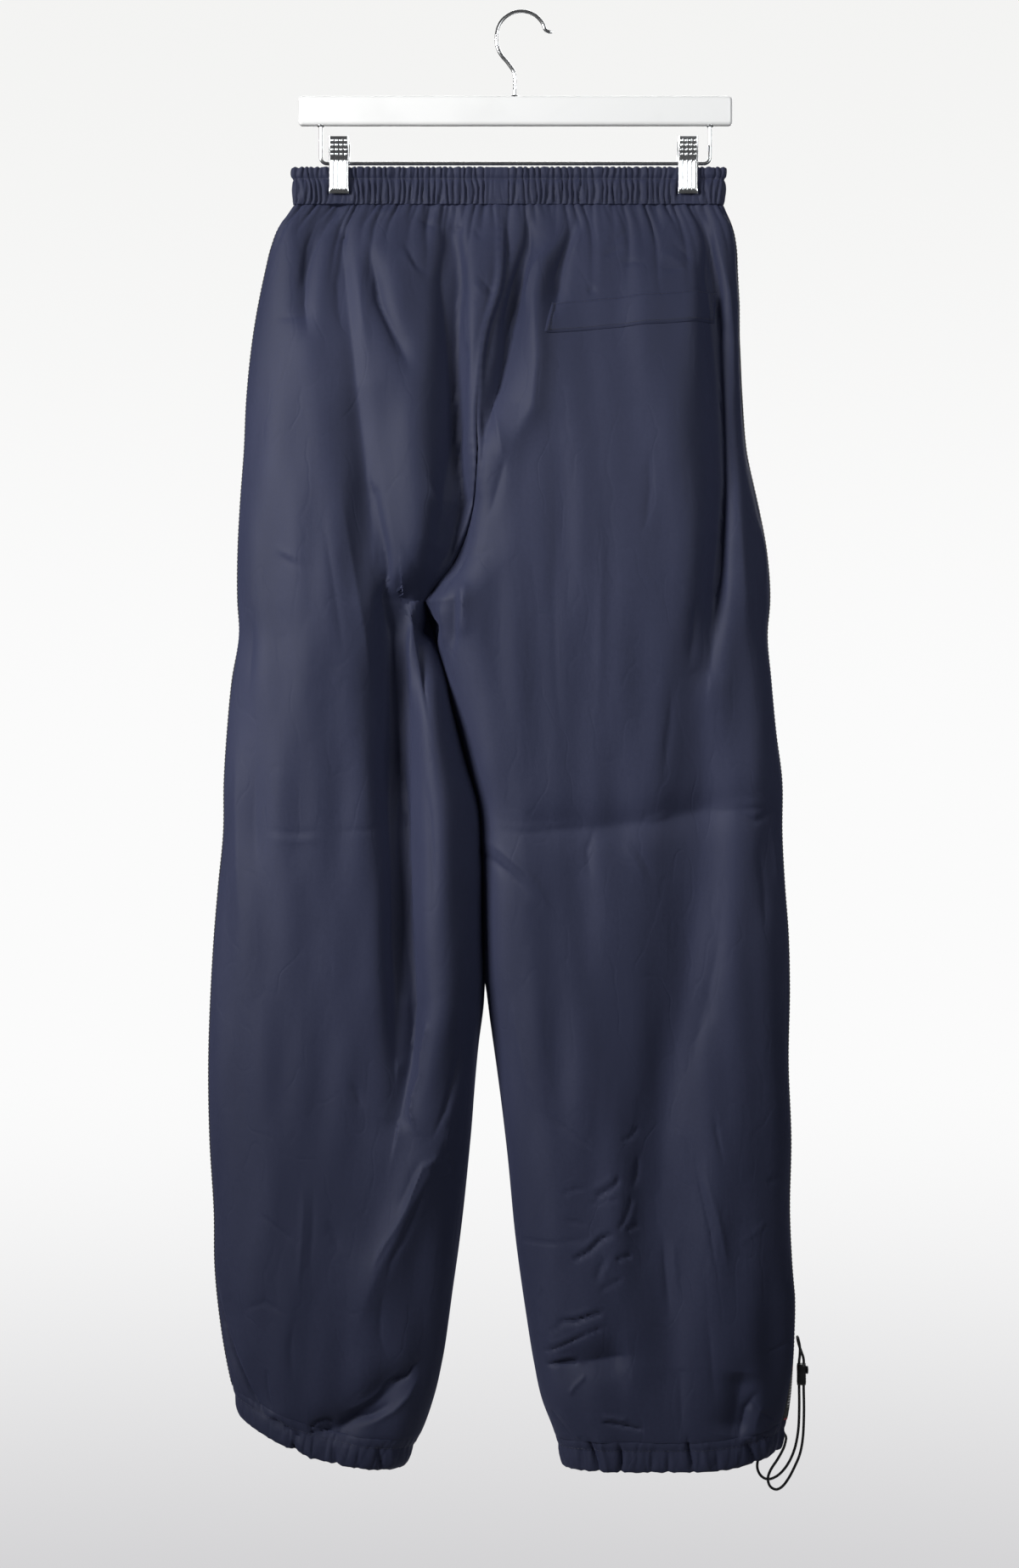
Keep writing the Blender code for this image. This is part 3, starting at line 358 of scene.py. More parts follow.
# Creases that the solids leave out: depth, spread, sharpness, then the path.
CREASES = {Face.BACK: creases_from("""
-1.6 4 1.4 -160 -156 -166 -173 -172 -191 -174 -215 -174 -241
-2.6 4.5 1.3 139 -156 150 -188 156 -226 159 -263 159 -298
2.4 5 1.3 147 -156 158 -189 166 -226 169 -263 170 -305 167 -346
-1.1 4 1.4 -86 -161 -80 -169 -70 -173 -59 -172
0.88 4 1.4 -126 -166 -116 -162 -104 -161 -96 -165
-2.4 4 1.3 5 -162 4 -189 -5 -224 -12 -254 -19 -281
-1.8 3.5 1.3 44 -169 37 -188 31 -207 23 -226
0.83 4 1.4 51 -169 45 -187 38 -204
-1.43 3.5 1.3 -59 -172 -53 -176 -45 -176
-0.77 3.5 1.4 -40 -173 -36 -178 -32 -187
-1.2 3 1.4 -139 -176 -143 -182 -146 -187
-0.83 3 1.2 69 -191 78 -184 86 -176
-1.65 4.5 1.2 -96 -182 -92 -191 -85 -205 -71 -216
-0.88 4 1.3 119 -185 126 -193 142 -205
2.4 4.5 1.3 22 -187 16 -199 10 -211 5 -230 2 -253
0.99 5 1.5 -99 -189 -93 -199 -86 -210 -78 -218
-1.2 3 1.2 63 -201 74 -195 85 -191
1.2 7 1.7 -133 -195 -130 -222 -126 -257 -121 -291
1.2 5 1.5 108 -195 121 -201 136 -215
-1.4 6 1.6 -144 -198 -148 -219 -146 -244 -141 -270
-2.2 4 1.3 -121 -203 -117 -217 -115 -236 -104 -263 -96 -284
-1 3 1.2 74 -206 88 -204 103 -207
-1.1 3 1.2 106 -209 121 -210 137 -209
-1.54 4 1.2 -37 -214 -32 -219 -27 -224 -22 -235
0.88 4 1.3 -40 -221 -34 -227 -29 -236
-1.2 4 1.4 59 -224 55 -229 51 -230
2.2 4 1.3 -50 -226 -48 -244 -47 -263 -45 -284
-1 5 1.6 -202 -249 -185 -250 -163 -250
2 6 1.4 -20 -291 -21 -318 -16 -353 -10 -380
-2.2 5 1.4 -33 -311 -30 -339 -32 -363 -37 -394
-1.8 6 1.5 -10 -346 -15 -373 -23 -401 -33 -421
-1.2 5 1.4 100 -353 102 -387 97 -428
1.3 7 1.5 173 -359 174 -414 177 -469 182 -531
1.4 5 1.4 -78 -373 -64 -401 -55 -428
1.5 7 1.5 -147 -373 -136 -435 -124 -504 -115 -572
1.4 8 1.6 59 -373 63 -442 62 -524 59 -593
-1.3 6 1.5 -158 -401 -148 -469 -139 -531
-1.2 8 1.6 28 -401 25 -469 28 -552 37 -620
1.5 4 1.3 191 -401 196 -435 198 -469
1.6 4 1.2 -45 -428 -56 -443 -64 -458 -73 -469
-0.99 4 1.3 -99 -428 -86 -447 -78 -465
0.99 3.5 1.1 -199 -431 -190 -438 -180 -442 -168 -449
-2 4 1.3 -40 -432 -49 -447 -58 -462 -64 -475
-0.77 4 1.3 -45 -442 -34 -440 -21 -436
-0.77 4 1.3 -195 -438 -185 -446 -173 -453
-1.4 5 1.4 187 -442 191 -483 193 -524
-0.77 4 1.3 -122 -450 -102 -462 -85 -473
2 6 1.3 -40 -454 -45 -473 -48 -493 -50 -512
-1.6 5 1.4 -50 -462 -54 -483 -56 -510 -54 -538
1.6 5 1.4 -221 -469 -224 -493 -228 -517 -231 -542
-1.6 5 1.4 139 -472 137 -502 132 -532
2.6 4.5 1.2 -89 -480 -89 -500 -86 -538 -85 -576
1.6 4 1.2 -68 -483 -67 -510 -63 -538 -58 -558
-1.4 6 1.5 -213 -483 -216 -517 -218 -552
-0.88 3.5 1.2 -88 -484 -81 -494 -70 -502
-2 4.5 1.3 -80 -487 -79 -510 -76 -545 -73 -580
-1.4 6 1.4 121 -528 117 -579 110 -635
1.6 6 1.5 -230 -572 -228 -613 -227 -665 -226 -709 -223 -747
-2.2 5 1.3 -95 -579 -92 -648 -93 -716 -96 -768
1.4 4 1.3 -88 -586 -86 -641 -84 -709 -82 -771
-1.3 7 1.6 -213 -593 -214 -648 -211 -702
-1.4 4 1.3 -78 -606 -73 -648 -70 -696 -69 -737
0.84 2.8 1.1 141 -642 162 -639 187 -637 211 -635
-1.8 3.5 1.2 166 -641 176 -647 186 -652 199 -646 210 -638
-0.76 2.8 1.2 141 -648 162 -644 187 -642 210 -641
0.84 2.8 1.2 95 -652 108 -649 122 -644
1.4 5 1.4 200 -648 204 -682 208 -716
0.76 2.8 1.2 -27 -654 4 -656 34 -654 63 -653
-1.4 4 1.3 59 -653 52 -675 55 -702
-0.55 3.2 1.3 -152 -659 -125 -659 -97 -654
-0.67 3.2 1.3 -207 -658 -181 -661 -152 -659
-0.59 2.8 1.2 -27 -659 4 -661 34 -660 63 -659
1.6 4 1.3 -37 -661 -16 -675 4 -692 16 -709 25 -730
-0.83 3.5 1.2 84 -664 96 -681 107 -702
0.5 4 1.4 -207 -665 -181 -667 -152 -666
-1.3 5 1.4 189 -665 194 -702 196 -744
0.88 3.5 1.2 79 -667 90 -683 101 -704
-1.8 4 1.3 -41 -670 -21 -684 -3 -700 10 -718
-1.4 8 1.5 162 -702 154 -764 141 -819 128 -874
1.4 7 1.5 -10 -764 -5 -812 5 -860 22 -895
-0.88 4 1.3 148 -778 150 -799 150 -818
2.2 1.7 1.1 -81 -803 -75 -815 -79 -834 -80 -851 -86 -868 -88 -882 -85 -895 -78 -902
-2.2 3 1.3 -47 -819 -53 -853 -60 -881 -70 -901 -80 -908
-1.2 4.4 1.5 -137 -855 -130 -868 -126 -884
-1.3 2.4 1.3 152 -881 157 -908 161 -926
-0.8 1.6 1.2 19 -882 32 -893 57 -912
0.35 2.2 1.3 15 -886 28 -897 52 -915
-1.2 1.6 1.2 94 -893 88 -902 78 -907
1.2 2.4 1.2 -56 -893 -59 -904 -58 -914
-1.6 2.6 1.3 137 -908 140 -932 143 -947 150 -977 154 -1004 161 -1028
1.9 2 1.1 -55 -914 -68 -920 -78 -926 -85 -943 -91 -958 -99 -973 -108 -986 -115 -999 -119 -1013
-1.7 2.6 1.4 93 -915 92 -932 88 -947
-1.4 4.2 1.4 -75 -915 -85 -929 -93 -947 -102 -966
1.4 3.4 1.4 144 -916 149 -943 157 -970 162 -997 166 -1018
-1.2 2 1.2 -59 -916 -55 -926 -54 -936
0.65 2.6 1.3 74 -929 70 -936 62 -941 52 -946
-1.6 4.2 1.4 -69 -929 -77 -944 -85 -963 -93 -981 -104 -1002 -109 -1025
0.8 4 1.5 -180 -929 -173 -947 -174 -977 -177 -1018 -169 -1045
-2 2.2 1.3 78 -932 75 -940 68 -945 57 -952
-0.8 1.4 1.2 195 -941 202 -938 210 -936
-0.8 4.4 1.5 -166 -936 -166 -977 -169 -1018
-1 1.4 1.1 31 -948 41 -944 52 -943
-1.7 1.5 1.1 88 -948 85 -960 81 -970 75 -978
0.5 2.6 1.4 92 -949 89 -962 86 -970 80 -978
-0.8 1.4 1.2 52 -956 63 -954 78 -952
-0.8 1.4 1.2 -209 -963 -195 -974 -181 -985
-0.9 4.5 1.5 -155 -966 -148 -981 -144 -997
-1 1.3 1.1 33 -968 43 -970 52 -972
-1.3 3.2 1.5 112 -970 114 -1001 117 -1033 119 -1056
0.5 1.8 1.3 172 -988 182 -982 196 -971
-1.7 1.8 1.2 82 -977 88 -975 95 -972
0.8 2.4 1.3 37 -996 51 -989 61 -979 70 -973
1 4.2 1.5 121 -977 122 -1004 125 -1034
-2.5 1.9 1.2 38 -1002 53 -994 63 -984 75 -978
-0.7 1.5 1.2 -7 -987 25 -987 60 -982
0.55 3 1.4 74 -992 69 -1006 63 -1019
-1.2 3.6 1.5 67 -996 62 -1008 58 -1021
-1.8 1.9 1.2 74 -1001 82 -998 89 -997
-2.4 2 1.2 -248 -1011 -244 -1039 -239 -1056 -229 -1081 -217 -1107 -202 -1131
-1.3 1.5 1.2 61 -1026 70 -1020 82 -1014
0.45 2 1.3 15 -1045 11 -1032 18 -1018
-0.9 5 1.5 -110 -1018 -113 -1059 -104 -1087
1.4 2.6 1.3 -251 -1025 -247 -1050 -236 -1078 -224 -1106 -211 -1128
-0.9 4 1.5 147 -1032 151 -1080 155 -1125
-0.6 2.6 1.4 -226 -1051 -218 -1040 -204 -1034 -188 -1043 -178 -1045
0.85 2.3 1.3 29 -1046 43 -1044 52 -1041 62 -1037
-3 1.7 1.1 26 -1051 43 -1049 54 -1045 67 -1041
-1 4.4 1.5 -181 -1045 -184 -1073 -181 -1100
-1.9 1.5 1.1 14 -1076 26 -1073 40 -1066 52 -1059 70 -1052
-0.9 1.4 1.2 21 -1060 26 -1056 33 -1053
0.6 2.2 1.3 18 -1069 29 -1066 40 -1061 51 -1054
-0.8 1.4 1.2 193 -1077 206 -1073 217 -1068
-0.7 1.4 1.1 48 -1082 66 -1080 85 -1076
0.9 2.3 1.3 20 -1080 29 -1080 38 -1078 48 -1077
-0.8 4 1.5 126 -1080 127 -1114 128 -1147
-2.6 2.4 1.2 -118 -1107 -107 -1100 -92 -1095 -87 -1087 -76 -1080
-3.3 1.7 1.1 19 -1086 28 -1085 38 -1084 47 -1083
1.4 3 1.3 -147 -1124 -133 -1118 -118 -1110 -104 -1095 -92 -1085
-1 2 1.3 -204 -1087 -203 -1106 -199 -1125
2.2 3.6 1.3 -134 -1137 -118 -1131 -102 -1122 -91 -1111 -80 -1091
1.6 1.6 1.2 38 -1110 42 -1102 52 -1092
-3.6 4.5 1.4 193 -1105 185 -1111 178 -1121 175 -1135 173 -1150
-3.6 4.4 1.4 -146 -1146 -144 -1135 -133 -1128 -119 -1124 -108 -1118 -101 -1110
-1.5 1.4 1.1 182 -1114 191 -1124 204 -1131
0.9 3.4 1.3 195 -1115 188 -1128 185 -1144
1 2.2 1.3 28 -1120 37 -1132 48 -1147
-1 2.2 1.3 23 -1122 32 -1133 43 -1148
1.2 2.2 1.3 63 -1125 75 -1127 86 -1129
-2.2 1.7 1.2 -202 -1128 -191 -1133 -181 -1140 -173 -1144
-1.6 1.6 1.2 -169 -1136 -163 -1131 -155 -1129 -148 -1133
-2.3 1.8 1.1 62 -1130 75 -1132 86 -1134 99 -1136
0.99 3 1.4 57 -1135 63 -1148 67 -1163 70 -1177
-2 2.6 1.3 132 -1136 133 -1150 136 -1163 139 -1176
-1.6 1.6 1.2 -170 -1139 -159 -1139 -148 -1137
-2.6 2.6 1.3 51 -1139 56 -1151 60 -1163 63 -1177
0.83 3.4 1.5 141 -1142 145 -1155 151 -1172
0.99 3.4 1.5 191 -1142 195 -1154 198 -1165
-2.3 2.4 1.3 76 -1143 80 -1155 80 -1166 78 -1177
-1.8 2.6 1.4 -184 -1144 -181 -1154 -178 -1163
-2.6 3 1.3 178 -1144 184 -1157 189 -1168
-1 1.5 1.2 187 -1146 193 -1144 199 -1146
-1.21 3 1.5 46 -1147 49 -1159 51 -1174
0.83 3.4 1.5 -170 -1148 -168 -1158 -167 -1168
-0.99 3 1.5 -150 -1148 -148 -1159 -147 -1172
-2 2.6 1.4 -115 -1148 -113 -1161 -110 -1173
0.88 3 1.5 -106 -1148 -104 -1161 -102 -1173
-0.83 3 1.5 103 -1148 104 -1161 103 -1176
-0.88 3 1.5 154 -1150 156 -1161 159 -1173
-0.99 3 1.5 117 -1151 117 -1163 117 -1176
-0.77 3 1.5 -130 -1152 -130 -1162 -129 -1173
""") + folds_from("""
-9 12 1.6 0.4 -118 -392 -109 -440 -102 -500 -101 -572 -100 -641 -97 -716 -96 -785 -99 -840
-5 10 1.5 0.7 -148 -154 -141 -215 -133 -291 -125 -359 -119 -428
-5 10 1.6 0.6 -54 -158 -51 -215 -48 -277 -50 -332 -60 -401 -68 -436
-3 14 1.8 1 152 -215 157 -277 159 -346 157 -414 148 -497
2.6 5 1.5 1 160 -240 164 -320 166 -400 164 -480
-4.5 6 1.4 0.7 -95 -505 -94 -560 -93 -640 -91 -716 -91 -790
2.4 3.4 1.2 0.7 -88 -482 -87 -540 -86 -600 -85 -680 -84 -760
-6 8 1.6 0.8 -90 -487 -80 -495 -68 -502
-4.5 8 1.5 0.7 -79 -488 -77 -512 -75 -545
-5 7 1.4 1 -10 -161 -12 -195 -21 -236 -29 -277 -37 -311
3 5 1.4 1 -89 -480 -82 -475 -74 -471
2.6 4 1.3 1 -64 -480 -63 -494 -62 -512
3.4 5 1.3 1 -47 -461 -45 -483 -45 -505
-3 5 1.4 1 -55 -469 -54 -490 -54 -513
"""), Face.FRONT: creases_from("""
-1.8 4 1.3 -150 -165 -158 -200 -162 -240
-2.2 4 1.3 -90 -165 -80 -205 -74 -250
1.8 5 1.4 -60 -160 -52 -210 -50 -270
-2 4 1.3 -36 -162 -32 -205 -34 -260
-2.2 4 1.3 40 -160 34 -200 22 -250
1.8 5 1.4 66 -162 58 -210 44 -270
-1.8 4 1.3 118 -160 124 -205 120 -250
-1.6 4 1.3 150 -165 152 -215 148 -270
-2 5 1.3 -60 -380 -66 -420 -76 -462
-2 5 1.3 -10 -400 -34 -440 -66 -468
2 5 1.3 -100 -470 -90 -500 -84 -560
-1.8 6 1.4 -60 -500 -54 -560 -50 -640
1.6 4 1.2 -226 -665 -190 -668 -150 -662 -96 -668
-1.5 4 1.2 -220 -672 -186 -675 -150 -670 -100 -675
1.6 4 1.2 -10 -664 50 -660 110 -664 180 -650
-1.6 4 1.2 0 -671 50 -668 110 -671 176 -658
1.5 7 1.5 -190 -520 -188 -640 -196 -780
-1.5 7 1.5 -110 -720 -112 -830 -106 -940
1.5 7 1.5 130 -500 136 -620 130 -760
-1.6 7 1.5 40 -720 44 -830 56 -950
-1.8 4 1.3 -120 -960 -96 -990 -84 -1030
-1.8 4 1.3 60 -980 84 -1000 104 -1034
-2 4 1.3 150 -1060 120 -1076 84 -1082
1.6 4 1.3 -200 -1040 -180 -1080 -160 -1104
-2.2 3 1.4 -200 -1120 -196 -1146 -192 -1174
-1.8 3 1.4 -178 -1126 -176 -1150 -174 -1174
-2.4 3 1.4 -150 -1116 -152 -1146 -150 -1174
-1.8 3 1.4 -128 -1130 -128 -1150 -126 -1174
-2 3 1.4 -106 -1120 -108 -1146 -110 -1174
-2.2 3 1.4 50 -1122 52 -1148 54 -1174
-1.8 3 1.4 76 -1130 76 -1150 78 -1174
-2.4 3 1.4 104 -1118 102 -1146 104 -1174
-1.8 3 1.4 132 -1130 134 -1150 134 -1174
-2.2 3 1.4 164 -1120 162 -1146 160 -1174
""")}
# The cords' free loops from eyelet to eyelet, in order, as in the solids.
CORD_ROUTES = {Side.RIGHT: table("""
213.6 20.6 -1163
208.6 20 -1172
203.2 18.2 -1179.5
200.4 15.2 -1186
201.8 12 -1191.6
206.6 10 -1193.8
211.8 9 -1190.8
216.8 8.4 -1183.8
221.6 8.2 -1174.4
225.8 8.2 -1164
228.2 8.4 -1150
229 8.6 -1130
228.75 8.6 -1112
228.75 8.6 -1100
228.75 8.6 -1088.5
227.4 10.4 -1083.2
225.5 13.6 -1077.6
224.1 12.4 -1071.9
223.7 8.3 -1069.7
224.2 4.2 -1071.9
225.1 2.8 -1077.4
225.3 6 -1084.6
225.05 8.6 -1090
225.05 8.6 -1100
225.05 8.6 -1111
225.2 9.2 -1128
224.6 11 -1146
221.8 13.4 -1162
216.6 16.6 -1175
209.6 20.6 -1184.6
202 23.4 -1188.8
196 25 -1186.8
192.8 26.2 -1180.4
194 27.4 -1172.4
198.4 28.2 -1165
"""), Side.LEFT: table("""
-222.4 26.8 -1114.6
-229.4 24.8 -1105
-236 21.8 -1095.4
-238.85 20.4 -1086.5
-238.85 20.4 -1076
-238.85 20.4 -1066
-241.3 20.4 -1060.8
-242.1 20.8 -1055.4
-240.4 21 -1051.8
-236.8 21.3 -1050.6
-233.2 21.6 -1051.8
-231.5 21.6 -1055.4
-232.4 21 -1060.8
-235.15 20.4 -1066.6
-235.15 20.4 -1076
-235.15 20.4 -1086
-230.6 23.4 -1095.4
-220.6 28.4 -1107.4
-210.6 31.4 -1119.6
""")}


# --- Node trees and finishes ---


class NodeSketch:
    """Adds the nodes of one tree and links them."""

    def __init__(self, tree: bpy.types.NodeTree) -> None:
        """Start on a material's, world's or Geometry Nodes tree."""
        self.tree = tree

    def add(self, kind: str, *inputs: object, named: Sockets | None = None,
            **settings: object) -> bpy.types.Node:
        """Add a node.

        Args:
            kind: The node's type.
            *inputs: What goes into its sockets in order: a socket, a value, or None to skip one.
            named: What goes into sockets by their names.
            **settings: The node's own properties.

        Returns:
            The new node.
        """
        node = self.tree.nodes.new(kind)
        for name, value in settings.items():
            setattr(node, name, value)
        for socket, value in zip(node.inputs, inputs):
            self.feed(socket, value)
        for name, value in (named or {}).items():
            self.feed(node.inputs[name], value)
        return node

    def feed(self, socket: Socket, value: object) -> None:
        """Link a socket, or set its value where that is no socket and not None.

        Args:
            socket: The node's input.
            value: A socket, a plain value, or None to leave it.
        """
        if isinstance(value, Socket):
            self.tree.links.new(value, socket)
        elif value is not None:
            socket.default_value = value

    def place(self, kind: str) -> Socket:
        """A texture coordinate."""
        return self.add("ShaderNodeTexCoord").outputs[kind]

    def parts(self, vector: Socket) -> Sequence[Socket]:
        """A vector's three numbers."""
        return self.add("ShaderNodeSeparateXYZ", vector).outputs

    def vector(self, *parts: object) -> Socket:
        """A vector from three numbers."""
        return self.add("ShaderNodeCombineXYZ", *parts).outputs[0]

    def maths(self, operation: str, *values: object) -> Socket:
        """A Math node's result."""
        return self.add("ShaderNodeMath", *values, operation=operation).outputs[0]

    def times(self, *values: object) -> Socket:
        """The product of two or more numbers.

        Args:
            *values: Sockets or numbers.

        Returns:
            The product's socket.
        """
        result = values[0]
        for value in values[1:]:
            result = self.maths("MULTIPLY", result, value)
        return result

    def plus(self, first: object, second: object) -> Socket:
        """The sum of two numbers."""
        return self.maths("ADD", first, second)

    def minus(self, first: object, second: object) -> Socket:
        """The difference of two numbers."""
        return self.maths("SUBTRACT", first, second)

    def vector_maths(self, operation: str, *values: object, scale: object = None) -> Socket:
        """A Vector Math node's vector."""
        named = None if scale is None else {"Scale": scale}
        return self.add("ShaderNodeVectorMath", *values, named=named, operation=operation).outputs[0]

    def rise(self, value: object, start: float, end: float) -> Socket:
        """Smooth rise from 0 at start to 1 at end."""
        return self.add("ShaderNodeMapRange", value, start, end, 0.0, 1.0,
                        interpolation_type="SMOOTHSTEP").outputs[0]

    def mixed(self, factor: object, *colours: object) -> Socket:
        """Two colours mixed by a factor.

        Args:
            factor: 0 for the first colour, 1 for the second.
            *colours: The two, as sockets or values.

        Returns:
            The mixed colour.
        """
        node = self.add("ShaderNodeMix", factor, data_type="RGBA")
        for number, colour in zip((6, 7), colours):
            self.feed(node.inputs[number], (*colour, 1.0) if isinstance(colour, tuple) else colour)
        return node.outputs[2]

    def noise(self, vector: object, scale: float, detail: float = 3.0, roughness: float = 0.5) -> Socket:
        """Noise from 0 to 1 on a vector."""
        return self.add("ShaderNodeTexNoise", vector, named={
            "Scale": scale, "Detail": detail, "Roughness": roughness}).outputs[0]

    def bumps(self, *layers: tuple[Socket, float, float]) -> Socket:
        """Stacked bumps, from rows of (height, distance in mm, strength).

        Args:
            *layers: The rows, the lowest layer first.

        Returns:
            The bent normal.
        """
        normal = None
        for height, distance, strength in layers:
            normal = self.add("ShaderNodeBump", named={
                "Strength": strength, "Distance": distance * MM, "Height": height,
                "Normal": normal}).outputs[0]
        return normal


class Finish:
    """A material of this object, made once and shared."""

    made: dict[str, bpy.types.Material] = {}
    name: str = "finish"

    def material(self) -> bpy.types.Material:
        """The finish's material, made at its first use.

        Returns:
            The material.
        """
        if self.name not in Finish.made:
            material = bpy.data.materials.new(self.name)
            material.use_nodes = True
            sketch = NodeSketch(material.node_tree)
            shader = material.node_tree.nodes["Principled BSDF"]
            for name, value in self.sockets(sketch).items():
                sketch.feed(shader.inputs[name], value)
            Finish.made[self.name] = material
        return Finish.made[self.name]

    def sockets(self, sketch: NodeSketch) -> Sockets:
        """What goes into the shader's sockets."""
        raise NotImplementedError


def dimmed(colour: Colour, share: float) -> Colour:
    """A colour times a number."""
    return tuple(part * share for part in colour)


@dataclass(frozen=True)
class MicrofibreFinish(Finish):
    """Navy microfibre: a fine plain weave with a soft peach-skin sheen and faint wear."""

    name: str = "navy_microfibre"
    navy: Colour = (0.0178, 0.0212, 0.0462)
    lifted: Colour = (0.0253, 0.0291, 0.0598)
    weave_pitch: float = 0.45
    roughness: float = 0.66
    sheen: float = 0.10

    def sockets(self, sketch: NodeSketch) -> Sockets:
        """What goes into the shader's sockets.

        Args:
            sketch: The material's node tree.

        Returns:
            The values by socket name.
        """
        place, turn = sketch.place("Object"), math.tau / (self.weave_pitch * MM)
        warp, weft = (sketch.maths("SINE", sketch.times(run, turn))
                      for run in sketch.parts(sketch.place("UV"))[:2])
        long_way = sketch.vector_maths("MULTIPLY", place, (1.0, 1.0, 0.35))
        crumple = sketch.noise(long_way, 55.0, 4.0, 0.55)
        drift = sketch.add("ShaderNodeTexNoise", place, None, 16.0).outputs[1]
        wander = sketch.vector_maths("SCALE", drift, scale=0.035)
        crinkle = sketch.noise(sketch.vector_maths("ADD", long_way, wander), 34.0, 1.0)
        fine_creases = sketch.rise(sketch.maths("ABSOLUTE", sketch.minus(crinkle, 0.5)), 0.0, 0.045)
        grain = sketch.noise(place, 420.0, 3.0, 0.6)
        worn = sketch.plus(sketch.times(sketch.noise(long_way, 14.0), 0.7), sketch.times(grain, 0.3))
        return {
            "Base Color": sketch.mixed(sketch.rise(worn, 0.35, 0.68), self.navy, self.lifted),
            "Roughness": sketch.maths("MULTIPLY_ADD", grain, 0.14, self.roughness - 0.07),
            "Specular IOR Level": 0.22, "Sheen Weight": self.sheen, "Sheen Roughness": 0.5,
            "Sheen Tint": (0.50, 0.55, 1.0, 1.0),
            "Normal": sketch.bumps((crumple, 1.5, 0.34), (fine_creases, 0.35, 0.30), (grain, 0.12, 0.30),
                                   (sketch.times(warp, weft), 0.05, 0.22))}


@dataclass(frozen=True)
class ThreadFinish(Finish):
    """Twisted sewing thread."""

    name: str = "navy_thread"
    colour: Colour = (0.024, 0.028, 0.055)

    def sockets(self, sketch: NodeSketch) -> Sockets:
        """What goes into the shader's sockets."""
        ply = sketch.noise(sketch.place("Object"), 1500.0, 1.0)
        return {"Base Color": sketch.mixed(ply, dimmed(self.colour, 0.6), self.colour),
                "Roughness": 0.45, "Sheen Weight": 0.2, "Normal": sketch.bumps((ply, 0.08, 0.4))}


@dataclass(frozen=True)
class TapeFinish(Finish):
    """Black woven side tape with a plain ladder of pale bars between red ones, and painted shade in its
    twill's grooves.
    """

    name: str = "woven_side_tape"
    black: Colour = (0.010, 0.010, 0.012)
    pale: Colour = (0.62, 0.62, 0.63)
    red: Colour = (0.42, 0.016, 0.030)
    repeat: float = 43.0
    red_length: float = 3.2
    ladder: tuple[float, float] = (5.0, 34.0)
    bar_pitch: float = 2.4
    half_width: float = 3.2
    twill_pitch: float = 0.9

    def sockets(self, sketch: NodeSketch) -> Sockets:
        """What goes into the shader's sockets.

        Args:
            sketch: The material's node tree.

        Returns:
            The values by socket name.
        """
        across, along = sketch.parts(sketch.place("UV"))[:2]
        length = sketch.maths("PINGPONG", along, 1000.0)
        part = sketch.maths("FLOORED_MODULO", length, self.repeat * MM)
        middle = sketch.maths("LESS_THAN", sketch.maths("ABSOLUTE", across), self.half_width * MM)
        in_red = sketch.times(middle, sketch.maths("LESS_THAN", part, self.red_length * MM))
        in_ladder = sketch.times(sketch.maths("GREATER_THAN", part, self.ladder[0] * MM),
                                 sketch.maths("LESS_THAN", part, self.ladder[1] * MM))
        rung = sketch.maths("LESS_THAN", sketch.maths("FLOORED_MODULO", part, self.bar_pitch * MM),
                            self.bar_pitch * 0.52 * MM)
        slant = sketch.times(sketch.plus(across, along), math.tau / (self.twill_pitch * MM))
        twill = sketch.maths("SINE", slant)
        # The twill's ribs are painted lighter and its grooves darker: painted highlight and painted shade.
        twill_painted_shade = sketch.mixed(sketch.rise(twill, -1.0, 1.0), self.black, dimmed(self.black, 2.2))
        barred = sketch.mixed(sketch.times(middle, in_ladder, rung), twill_painted_shade, self.pale)
        return {"Base Color": sketch.mixed(in_red, barred, self.red), "Roughness": 0.7,
                "Sheen Weight": 0.1, "Normal": sketch.bumps((twill, 0.12, 0.5))}


@dataclass(frozen=True)
class CordFinish(Finish):
    """Braided black cord, with painted shade in its braid's grooves; its map runs once round and along it in
    metres.
    """

    name: str = "braided_black_cord"
    colour: Colour = (0.011, 0.011, 0.013)
    strands: int = 8
    braid_pitch: float = 3.0

    def sockets(self, sketch: NodeSketch) -> Sockets:
        """What goes into the shader's sockets.

        Args:
            sketch: The material's node tree.

        Returns:
            The values by socket name.
        """
        around, along = sketch.parts(sketch.place("UV"))[:2]
        turned = sketch.times(around, math.tau * self.strands / 2)
        run = sketch.times(along, math.tau / (self.braid_pitch * MM))
        braid = sketch.times(sketch.maths("SINE", sketch.plus(turned, run)),
                             sketch.maths("SINE", sketch.minus(turned, run)))
        # The braid's crests are painted lighter and its grooves darker: painted highlight and painted shade.
        lit = sketch.mixed(sketch.rise(braid, -1.0, 1.0), self.colour, dimmed(self.colour, 2.6))
        return {"Base Color": lit, "Roughness": 0.6, "Sheen Weight": 0.15,
                "Normal": sketch.bumps((braid, 0.22, 0.7))}


@dataclass(frozen=True)
class MouldedFinish(Finish):
    """Moulded plastic or painted wood: one colour with a faint grain and rubbed patches."""

    name: str = "black_moulding"
    colour: Colour = (0.012, 0.012, 0.013)
    rubbed: Colour = (0.030, 0.030, 0.032)
    roughness: float = 0.34
    grain_scale: float = 900.0
    grain_height: float = 0.05
    coat: float = 0.0

    def sockets(self, sketch: NodeSketch) -> Sockets:
        """What goes into the shader's sockets.

        Args:
            sketch: The material's node tree.

        Returns:
            The values by socket name.
        """
        place = sketch.place("Object")
        grain = sketch.noise(place, self.grain_scale, 2.0)
        patches = sketch.noise(place, self.grain_scale / 16)
        return {"Base Color": sketch.mixed(sketch.rise(patches, 0.45, 0.75), self.colour, self.rubbed),
                "Roughness": sketch.maths("MULTIPLY_ADD", patches, 0.16, self.roughness - 0.08),
                "Coat Weight": self.coat, "Coat Roughness": 0.12,
                "Normal": sketch.bumps((grain, self.grain_height, 0.35))}


